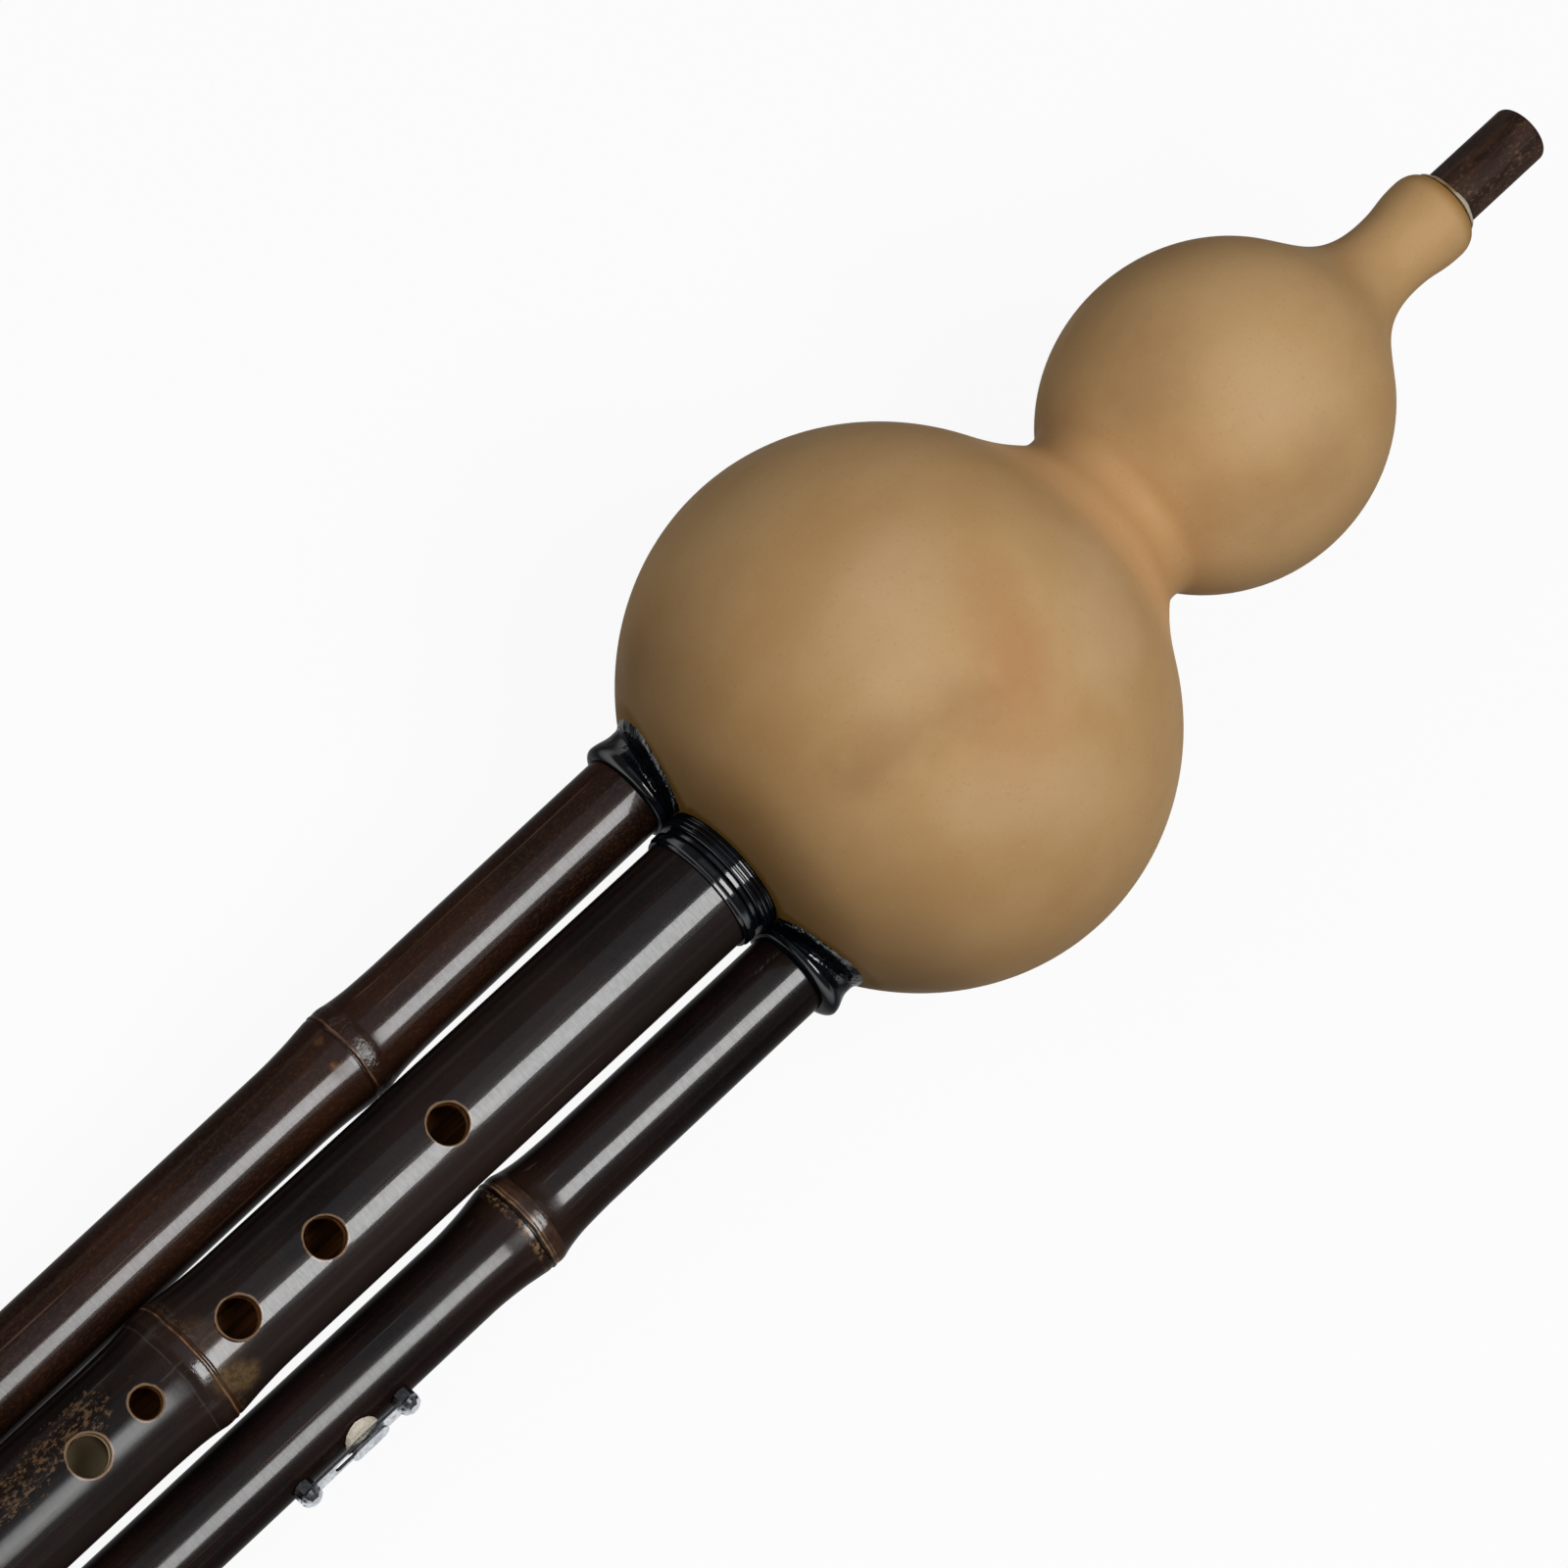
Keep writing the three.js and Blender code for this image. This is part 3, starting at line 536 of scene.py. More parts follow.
# Marks on the gourd: both ends of each, its reach in mm, strength and colour.
# The stains are the skin's own. The umber marks along the crease towards the foot and beside the waist
# are painted shade; the ochre arcs on the left flank are partly tone, partly painted shade, and the
# pale marks are partly tone, partly painted light.
SKIN_MARKS = (
    ((10.1, 9.7, 41), (2.4, -6.5, 43), 7, 0.28, STAIN),
    ((2.4, -6.5, 43), (-3.9, -15.2, 40.7), 7.5, 0.24, STAIN),
    ((-7.4, -5.6, 42.5), (-23.7, -2.8, 35.2), 6.5, 0.34, UMBER_SHADE),
    ((0.3, 14.5, 41.3), (-9, 7, 42), 12, 0.36, PALE),
    ((26.5, -3.5, 32.5), (16, -13, 38), 9, 0.34, PALE),
    ((-0.6, -25, 35.5), (-14, -17, 36.5), 8, 0.30, PALE),
    ((20, 14, 33), (-4, 26, 34), 9, 0.20, OCHRE),
    ((-4, 26, 34), (-26, 16, 28), 9, 0.20, OCHRE),
    ((66, -2, 26), (70, -6, 25), 12, 0.25, PALE),
    ((54, 8, 19), (60, 12, 22), 9, 0.30, UMBER_SHADE),
    ((52, -13, 20), (64, -16, 20), 9, 0.28, UMBER_SHADE),
)
WAIST_AT, WAIST_CREASE, WAIST_CREASE_WIDTH = 41.5, 0.3, 1.9
WARM_REACH, SHOULDER_AT, SHOULDER_REACH = 9, WAIST_AT - 6.5, 8
# Both ends of a streak of painted highlight along the waist's front
WAIST_HIGHLIGHT = ((40.5, 3, 21), (38, -8, 21))
# Reach of the grime with painted shade from the collars, where it starts and is full along X, and the glue's
# reach
GRIME_SHADE_REACH, GRIME_SHADE_FROM, GRIME_SHADE_FULL, GLUE_REACH = 30, -14, -28, 1.9


def gourd_material():
    n = Nodes("gourd_skin")
    broad = n.noise(26, 4, 0.55)
    middle = n.noise(85, 5)
    streaks = n.noise(160, 4, 0.6, 0.22)
    speck = n.noise(1500, 2, 0.7)
    n.colour = n.mix(n.ramp(broad, 0.32, 0.68), (179, 140, 91), (190, 153, 105))
    n.paint((196, 161, 117), n.ramp(middle, 0.35, 0.75, 0, 0.35))
    n.paint((178, 137, 92), n.ramp(streaks, 0.45, 0.75, 0, 0.30))
    warp = n.wobble(n.noise(75), 16)
    for start, end, reach, strength, tone in SKIN_MARKS:
        away = n.math("ADD", n.off_line(start, end), warp)
        n.paint(tone, n.ramp(away, reach * 0.1, reach * 1.3, strength, 0))
    # Warm crease at the waist; painted highlight on the shoulder beside it and in a streak along its front
    x = n.split()[0]
    along = n.in_mm(x)
    n.paint((190, 138, 86), n.band(along, WAIST_AT, 1, WARM_REACH, 0.38))
    n.paint((228, 178, 124), n.band(along, SHOULDER_AT, 1, SHOULDER_REACH, 0.6))
    waist_highlight = n.math("ADD", n.off_line(*WAIST_HIGHLIGHT), n.math("MULTIPLY", warp, 0.2))
    n.paint((216, 184, 148), n.ramp(waist_highlight, 0, 2.6, 0.5, 0))
    # Golden glue, and grime with painted shade darkening the skin near the collars and towards the foot
    rim = n.math("SUBTRACT", n.from_axis(), SOCKET_RADIUS + 0.2)
    for drone in (LEFT, RIGHT):
        across = drone["side"] * (drone["spacing"] - SKIRT_INWARD)
        from_skirt = n.from_axis(across, SKIRT_FORWARD - SET_BACK)
        rim = n.math("MINIMUM", rim, n.math("SUBTRACT", from_skirt, SKIRT_RADIUS - SKIRT_DRAWN))
    below = n.ramp(x, GRIME_SHADE_FROM * MM, GRIME_SHADE_FULL * MM)
    edge = n.math("ADD", rim, n.wobble(n.noise(300), 1.4))
    n.paint((98, 70, 37), n.ramp(rim, 0, GRIME_SHADE_REACH, 0.58, 0), below)
    n.paint((112, 80, 22), n.ramp(edge, 0.2, GLUE_REACH, 0.85, 0), below)
    n.paint((150, 108, 48), n.ramp(x, (LIP_AT - 0.2) * MM, (GOURD_TOP - 0.7) * MM, 0, 0.7))
    n.paint((140, 102, 64), n.ramp(speck, 0.30, 0.40, 0.16, 0))
    n.paint((222, 192, 152), n.ramp(speck, 0.64, 0.76, 0, 0.14))
    n.bump((broad, 0.35), (n.noise(420, 4), 0.035), (speck, 0.012))
    return n.set(Roughness=n.ramp(middle, 0.3, 0.7, 0.54, 0.66),
                 Specular_IOR_Level=n.ramp(n.facing(), 0.2, 0.7, 0.2, 0.04))


def paint_scar(n, at, direction, style, swell, patchy):
    """A node's scar: crinkled band, thin lines, flakes, painted shade in its groove. Returns distance and
    relief.
    """
    x, y, z = n.split()
    turn = n.math("ARCTAN2", y, z)
    grit = n.noise(1300, 3, 0.65)
    hoops = n.noise(1500, 3, 0.6, 1, 0.1)
    wave = 0
    for times, size, phase in WAVES:
        angle = n.math("MULTIPLY_ADD", turn, float(times), phase)
        wave = n.math("MULTIPLY_ADD", n.math("SINE", angle), size, wave)
    along = n.math("SUBTRACT", n.math("MULTIPLY_ADD", x, 1 / MM, -at), wave)
    d = n.math("MULTIPLY", along, float(direction))
    near = n.math("ABSOLUTE", d)
    breaks = n.ramp(patchy, 0.34, 0.62, 0.3, 1)
    n.paint(swell, n.ramp(near, 2, 8, 0.5, 0))
    share = n.ramp(hoops, 0.3, 0.66, style["band_share"] * 0.35, style["band_share"])
    n.paint(style["band"], n.band(d, 0.1, 0.9, 1.5), share, breaks)
    for centre, half, strength, tone in style["lines"]:
        n.paint(tone, n.band(d, centre, half * 0.4, half, strength), breaks)
    for start, end, reach, strength, tone in style["patches"]:
        ragged = n.math("ADD", n.off_line(start, end), n.wobble(patchy, 3))
        worn = n.ramp(ragged, reach * 0.2, reach, strength, 0)
        n.paint(tone, worn, n.ramp(grit, 0.35, 0.6, 0.45, 1))
    flake = n.times(n.band(d, -2.15, 0.3, 1.2, style["flakes"]), n.ramp(grit, 0.48, 0.56))
    n.paint((128, 98, 68), flake, n.ramp(patchy, 0.36, 0.5))
    # Painted shade: a near-black line in the groove below the scar line
    n.paint((10, 6, 5), n.band(d, -1.6, 0.10, 0.42, style["groove"]))
    n.paint(style["line"], n.band(d, -1.08, 0.06, 0.24, 0.85), breaks)
    top = n.ramp(near, 1, 2.2, 1, 0)
    crinkle = n.times(top, n.noise(1250))
    return near, [(crinkle, style["crinkle"]), (n.times(top, hoops), style["hoops"])]


def paint_holes(n, rims, patchy, raw):
    """Pale broken edges of the finger holes, and painted light on the bore's wall inside those that show it.
    """
    z = n.split()[2]
    flat = n.scaled((1, 1, 0))
    for at, hole, front, pale in rims:
        away = n.in_mm(n.vector("DISTANCE", flat, (at * MM, 0, 0)))
        side = n.ramp(z, 0, MM if front else -MM)
        outer = n.ramp(n.math("ADD", away, n.wobble(patchy, 0.7)), hole + 0.30, hole + 0.48, 0.8, 0)
        n.paint((142, 112, 86), outer, n.ramp(away, hole + 0.02, hole + 0.1), side)
        # Painted light: the bore's wall under this hole made pale, as if lit through it
        if pale:
            n.paint((214, 198, 162), n.ramp(away, hole + 0.5, hole + 2, 1, 0), raw)


def bamboo_material(name, place, tones, radius, scar, dull, rims=(), worn=None):
    """Polished dark bamboo. The scar is (position, direction, style); rims are the holes with pale edges."""
    n = Nodes(name, place)
    x, y, _ = n.split()
    fibre = n.noise(900, 4, 0.6, 0.035)
    streak = n.noise(260, 3, 0.55, 0.06)
    hair = n.noise(1500, 1, 0.5, 0.012)
    cloud = n.noise(55, 4, 0.6, 0.5)
    fleck = n.noise(1300, 2, 0.6, 0.5)
    grain = n.noise(2400, 3, 0.65, 0.6)
    patchy = n.noise(420)
    n.colour = n.mix(n.ramp(cloud, 0.36, 0.66), tones["dark"], tones["warm"])
    n.paint(tones["warm"], n.ramp(streak, 0.5, 0.72, 0, 0.6))
    n.paint(tones["fibre"], n.ramp(fibre, 0.58, 0.74, 0, 0.4))
    n.paint((118, 98, 84), n.ramp(hair, 0.70, 0.76, 0, 0.35))
    # Painted sheen: a grey tint on the right flank, as strong as the tone's side share
    n.paint((66, 56, 52), n.ramp(y, -6 * MM, -MM, tones["side"], 0))
    n.paint(tones["speckle"], n.ramp(grain, 0.46, 0.66, 0, tones["grain"]))
    flecked = n.ramp(cloud, 0.42, 0.62, 0, tones["flecks"])
    n.paint((104, 70, 46), n.ramp(fleck, 0.66, 0.74), flecked)
    near, relief = paint_scar(n, *scar, tones["swell"], patchy)
    if worn is not None:
        start, end, size = worn
        mottled = n.noise(1450, 4, 0.7, 0.6)
        region = n.ramp(n.off_line(start, end), size * 0.2, size, 0.12, 0)
        mask = n.times(n.ramp(n.math("ADD", mottled, region), 0.60, 0.72), n.ramp(region, 0, 0.04))
        n.paint((124, 94, 66), mask, 0.52)
    # Bare bamboo at the bore and the cut ends, and pale at the tenon
    raw = n.ramp(n.from_axis(), radius - 1, radius - 0.6, 1, 0)
    long_grain = n.ramp(fibre, 0.4, 0.6)
    bare = n.mix(long_grain, tones["bare"], tuple(round(c * 1.5) for c in tones["bare"]))
    tenon = n.mix(long_grain, (178, 142, 94), (204, 172, 124))
    at_tenon = n.ramp(x, (PIPE_SHOULDER - 0.6) * MM, (PIPE_SHOULDER - 0.1) * MM)
    n.paint(n.mix(at_tenon, bare, tenon), raw)
    paint_holes(n, rims, patchy, raw)
    ripple = n.noise(2600, 2, 0.5, 1, 0.22)
    n.bump((streak, 0.03), (fibre, 0.006), (ripple, 0.003), *relief)
    # The polish: none on bare wood, duller past one place along the pipe and next to the node
    shine = n.times(n.ramp(n.facing(), 0.12, 0.33, 1, 0.02), n.ramp(raw, 0.2, 0.8, 1, 0.05))
    start, end, share, softness = dull
    coat = n.times(shine, n.ramp(ripple, 0.3, 0.7, 0.78, 1), tones["gloss"])
    coat = n.times(coat, n.ramp(x, start * MM, end * MM, share, 1))
    blur = n.math("ADD", n.ramp(x, start * MM, end * MM, softness, 0.055), n.ramp(near, 1.5, 9, 0.08, 0))
    rough = n.math("ADD", n.ramp(fibre, 0.3, 0.7, 0.20, 0.30), n.math("MULTIPLY", raw, 0.4))
    return n.set(Roughness=rough, IOR=1.5, Specular_IOR_Level=n.times(shine, 0.3), Coat_Weight=coat,
                 Coat_Roughness=blur)


def resin_material():
    n = Nodes("black_resin")
    wear = n.noise(330, 4)
    fine = n.noise(1400)
    n.colour = n.mix(n.ramp(wear, 0.35, 0.7), (7, 9, 12), (16, 20, 26))
    n.paint((60, 66, 74), n.ramp(fine, 0.68, 0.80, 0, 0.2))
    x, _, z = n.split()
    poured = n.ramp(x, (COLLAR_BOTTOM + 1) * MM, (COLLAR_BOTTOM + 2.6) * MM)
    past_ring = n.math("SUBTRACT", n.from_axis(), SOCKET_RADIUS)
    lumps = n.times(n.noise(620), n.ramp(past_ring, 0.5, 1.8), poured)
    crisp = n.times(n.noise(680, 2), n.ramp(past_ring, 0.7, 2.1), poured, n.ramp(z, 0, 3 * MM))
    n.bump((lumps, 0.15), (crisp, 0.5), (wear, 0.03), (fine, 0.004))
    shine = n.ramp(n.facing(), 0.22, 0.52, 1, 0.02)
    return n.set(Roughness=n.ramp(fine, 0.3, 0.7, 0.12, 0.2), IOR=1.5,
                 Specular_IOR_Level=n.times(shine, 0.4), Coat_Weight=shine, Coat_Roughness=0.05)


def mouthpiece_material():
    n = Nodes("mouthpiece_bamboo")
    fibre = n.noise(700, 5, 0.65, 0.08)
    cloud = n.noise(300, 4, 0.6, 0.5)
    fleck = n.noise(1900, 3, 0.65, 0.55)
    n.colour = n.mix(n.ramp(fibre, 0.38, 0.66), (34, 21, 15), (60, 40, 30))
    n.paint((74, 52, 41), n.ramp(cloud, 0.5, 0.7, 0, 0.35))
    y = n.split()[1]
    # Pale flecks, more of them towards the right side (negative Y)
    fleck_share = n.math("ADD", n.ramp(y, 0, -3 * MM, 0, 0.3), n.ramp(cloud, 0.45, 0.65, 0.05, 0.25))
    n.paint((128, 102, 82), n.ramp(fleck, 0.5, 0.68), fleck_share)
    n.paint((70, 48, 34), n.ramp(n.from_axis(), TUBE_BORE + 0.2, TUBE_BORE + 0.5, 1, 0))
    n.bump((fibre, 0.06), (fleck, 0.03))
    return n.set(Roughness=n.ramp(fleck, 0.3, 0.7, 0.44, 0.62),
                 Specular_IOR_Level=n.ramp(n.facing(), 0.2, 0.6, 0.16, 0.02))


GLUE_BLOB = ((119.8, -1.3, 5.7), (119.8, -3.6, 4.6))


def glue_material():
    n = Nodes("pale_glue")
    grain = n.noise(900, 4)
    n.colour = n.mix(n.ramp(grain, 0.35, 0.65), (120, 92, 54), (150, 122, 82))
    away = n.math("ADD", n.off_line(*GLUE_BLOB), n.wobble(grain, 2))
    n.paint((186, 172, 148), n.ramp(away, 1, 2.4, 0.9, 0))
    n.bump((grain, 0.08))
    return n.set(Roughness=n.ramp(grain, 0.35, 0.65, 0.35, 0.6))


def plain_material(name, low, high, scale, rough_low, rough_high, depth, along=1, **more):
    """Two tones of noise with matching roughness and bump."""
    n = Nodes(name)
    grain = n.noise(scale, 4, 0.6, along)
    n.bump((grain, depth))
    n.colour = n.mix(n.ramp(grain, 0.35, 0.65), low, high)
    return n.set(Roughness=n.ramp(grain, 0.35, 0.65, rough_low, rough_high), **more)


def chrome_material():
    """Plated metal with slow waves from its polishing, and darker patches that paint dark reflections."""
    n = Nodes("key_chrome")
    grain = n.noise(1800, 4)
    cloud = n.noise(500, 2, 0.5)
    n.bump((cloud, 0.12), (grain, 0.004))
    n.colour = n.mix(n.ramp(grain, 0.35, 0.65), (176, 180, 186), (212, 215, 220))
    # Painted reflection: darker patches in the plating's colour stand for dark surroundings mirrored in it
    n.paint((120, 123, 128), n.ramp(cloud, 0.45, 0.7, 0, 0.5))
    return n.set(Roughness=n.ramp(cloud, 0.35, 0.65, 0.12, 0.28), Metallic=1)


# Pieces
def skin_form(x, r, a):
    """The gourd's slow unevenness and creases, always inwards."""
    p = Vector((x * 0.022 + 3.1, sin(a) * r * 0.03, cos(a) * r * 0.03))
    inwards = 0.2 * (0.5 + 0.5 * noise.noise(p)) * min(r / 10, 1)
    spot = Vector((x, r * sin(a), r * cos(a)))
    for start, end, width, depth in DENTS:
        inwards += depth * exp(-(off_line(spot, start, end) / width) ** 2)
    inwards += WAIST_CREASE * exp(-((x - WAIST_AT) / WAIST_CREASE_WIDTH) ** 2)
    return x, r - inwards


def gourd():
    outline = gourd_outline()
    bore = TUBE_RADIUS + CLEARANCE
    inner = [p for p in offset(outline, -GOURD_WALL)[::6] if p[0] < SMALL_AT or p[1] > bore]
    end = inner[-1]
    inner += [(end[0] + end[1] - bore, bore), (GOURD_TOP, bore)]
    loop = outline + inner[::-1]
    bm = lathe([(x, r * GOURD_SHARE) for x, r in loop], 160, skin_form)
    obj = new_object("gourd", bm, angle=50)
    along = Matrix.Rotation(pi / 2, 4, "Y")
    seats = [(SLEEVE_RADIUS, along)]
    seats += [(drone["radius"], drone_place(drone) @ along) for drone in (LEFT, RIGHT)]
    boolean(obj, [tool(bar(radius + CLEARANCE, SEATS_FROM, 0, 96), place) for radius, place in seats])
    shade(obj, 40)
    finish(obj, "wind_chest", "gourd_shell", gourd_material())


def pipe_rows(foot, end, radius, bore, node, direction):
    """A pipe's outline from its foot to the given end, with one bamboo node."""
    at, crest = node
    rows = [(foot, bore)] + arc(foot + PIPE_ROUND, PIPE_ROUND, PIPE_ROUND, 180, 90, 4, radius - PIPE_ROUND)
    form = through(NODE_FORM, 4)
    form = [(at + direction * d, radius + (crest - radius) * share) for d, share in form]
    form.sort()
    step = 6

    def straight(x, stop):
        while x + step < stop - step / 2:
            x += step
            rows.append((x, radius))
    straight(foot, form[0][0])
    rows += form
    straight(form[-1][0], end[0][0])
    rows += end
    return rows + rows[:1]


def bamboo(name, rows, share, segments, place, seed, node_at, tools):
    def change(x, r, a):
        p = Vector((x * 0.012 + seed, sin(a) * 1.2, cos(a) * 1.2))
        wave = sum(size * sin(times * a + phase) for times, size, phase in WAVES)
        near = exp(-((x - node_at) / 5) ** 2)
        return x + wave * near, r * share - 0.07 * (0.5 + 0.5 * noise.noise(p))
    obj = new_object(name, lathe(rows, segments, change), place, 30)
    boolean(obj, tools)
    shade(obj, 30)
    return obj


def reed_seat_tools(top, reed, place, radius):
    """The flat seat and the slot that a reed needs, as one tool each."""
    end = top - PLUG_LENGTH - REED_MARGIN
    start = end - reed["length"]
    slot, flat, width, wide = start + REED_MARGIN, reed["flat"], reed["width"], reed["wide"]
    seat_block = block((start - CLEARANCE, -width, flat), (end + CLEARANCE, width, radius + 1))
    slot_block = block((slot, -wide, 0), (slot + reed["tongue"], wide, flat + 1))
    return [tool(seat_block, place), tool(slot_block, place)]


# side is the strength of a painted grey sheen on the pipe's right flank
MELODY_TONES = dict(
    dark=(12, 9, 8), warm=(32, 22, 19), fibre=(54, 36, 28), swell=(38, 25, 19), bare=(96, 62, 32),
    flecks=0.12, gloss=1, grain=0.12, speckle=(58, 40, 30), side=0.22)
LEFT_TONES = dict(
    dark=(24, 13, 9), warm=(46, 26, 17), fibre=(72, 43, 28), swell=(38, 23, 16), bare=(96, 62, 34),
    flecks=0.35, gloss=0.8, grain=0.42, speckle=(70, 45, 30), side=0)
RIGHT_TONES = dict(
    dark=(13, 10, 9), warm=(31, 20, 17), fibre=(50, 32, 25), swell=(44, 28, 20), bare=(96, 62, 34),
    flecks=0.10, gloss=0.95, grain=0.12, speckle=(58, 40, 30), side=0)
# Thin lines: place, half width, strength and tone. Patches: both ends, reach, strength and tone.
# groove: strength of a near-black line of painted shade in the scar's groove
MELODY_SCAR = dict(
    band=(52, 36, 27), band_share=0.6, line=(138, 98, 66), flakes=0.15, groove=0.5, crinkle=0.04, hoops=0.05,
    # The grey second line is a painted reflection off a small ridge.
    lines=((-1.65, 0.5, 0.5, (92, 56, 28)), (2.35, 0.18, 0.22, (104, 92, 86))),
    patches=(((-140.4, -5, 8.1), (-138.2, -6.4, 7), 3.6, 0.62, (116, 92, 58)),
             ((-139.5, 3, 9), (-137.5, -2, 9.3), 3, 0.45, (78, 54, 36))))
LEFT_SCAR = dict(
    band=(46, 30, 24), band_share=0.5, line=(118, 80, 58), flakes=0, groove=0.35, crinkle=0.2, hoops=0.03,
    lines=(),
    patches=(((-97.5, -0.5, 7.3), (-98.2, -0.2, 7.2), 0.9, 0.7, (122, 84, 50)),
             ((-97, 3.6, 6.6), (-97.6, 4.2, 6.2), 0.9, 0.5, (104, 68, 40))))
RIGHT_SCAR = dict(
    band=(82, 58, 43), band_share=0.8, line=(150, 116, 86), flakes=0.8, groove=0.95, crinkle=0.05, hoops=0.12,
    lines=((-0.55, 0.22, 0.5, (140, 108, 84)), (1.55, 0.22, 0.6, (30, 18, 14))), patches=())
# Where the polish is duller: from, to, its share there and its blur
MELODY_DULL = (PIPE_NODE_AT - 4, PIPE_NODE_AT - 2, 0.28, 0.22)
LEFT_DULL, RIGHT_DULL = (-165, -125, 0.72, 0.09), (-97, -92, 0.7, 0.10)
# The worn patch below the melody pipe's node: both ends and its reach
WORN = ((-157.5, 4.6, 8.3), (-178, 3.4, 8.8), 5)


def melody_pipe():
    tenon = [(PIPE_SHOULDER, PIPE_RADIUS), (PIPE_SHOULDER, TENON_RADIUS)]
    floor_radius = TENON_RADIUS - TENON_GROOVE
    for at in TENON_SEALS:
        low, high = at - TENON_SEAL_HALF, at + TENON_SEAL_HALF
        tenon += [(low, TENON_RADIUS), (low, floor_radius), (high, floor_radius), (high, TENON_RADIUS)]
    tenon += [(TENON_TOP, TENON_RADIUS), (TENON_TOP, TENON_BORE), (PIPE_SHOULDER, TENON_BORE)]
    tenon += [(PIPE_SHOULDER - PIPE_BORE, PIPE_BORE)]
    rows = pipe_rows(PIPE_FOOT, tenon, PIPE_RADIUS, PIPE_BORE, (PIPE_NODE_AT, PIPE_NODE_RADIUS), -1)
    tools = hole_tools(FINGER) + hole_tools(BACK, pi)
    tools += reed_seat_tools(TENON_TOP, MELODY_REED, Matrix(), TENON_RADIUS)
    obj = bamboo("melody_bamboo", rows, PIPE_SHARE, 128, Matrix(), 5, PIPE_NODE_AT, tools)
    # The fifth finger hole gets painted light on the wall inside it
    rims = [(at, r, True, at == FINGER[4][0]) for at, r in FINGER] + [(at, r, False, False) for at, r in BACK]
    scar = (PIPE_NODE_AT, -1, MELODY_SCAR)
    material = bamboo_material("melody_bamboo", Matrix(), MELODY_TONES, PIPE_RADIUS, scar, MELODY_DULL,
                               rims, WORN)
    finish(obj, "melody_pipe", "melody_pipe", material)


def drone_pipe(name, drone, tones, scar, dull, seed, extra):
    radius, place = drone["radius"], drone_place(drone)
    end = [(DRONE_TOP, radius), (DRONE_TOP, DRONE_BORE)]
    rows = pipe_rows(DRONE_FOOT, end, radius, DRONE_BORE, (drone["node"], drone["crest"]), 1)
    tools = reed_seat_tools(DRONE_TOP, DRONE_REED, place, radius) + extra
    obj = bamboo(name + "_drone_bamboo", rows, 1, 96, place, seed, drone["node"], tools)
    material = bamboo_material(name + "_drone_bamboo", place, tones, radius, (drone["node"], 1, scar), dull)
    finish(obj, "wind_chest", name + "_drone_pipe", material)


def drones():
    drone_pipe("left", LEFT, LEFT_TONES, LEFT_SCAR, LEFT_DULL, 11, [])
    key = drone_place(RIGHT) @ Matrix.Rotation(KEY_TURN, 4, "X")
    drills = [tool(bar(radius, 0, KEY_DRILL, 32), key @ shift(at)) for at, radius in KEY_HOLES]
    drone_pipe("right", RIGHT, RIGHT_TONES, RIGHT_SCAR, RIGHT_DULL, 17, drills)


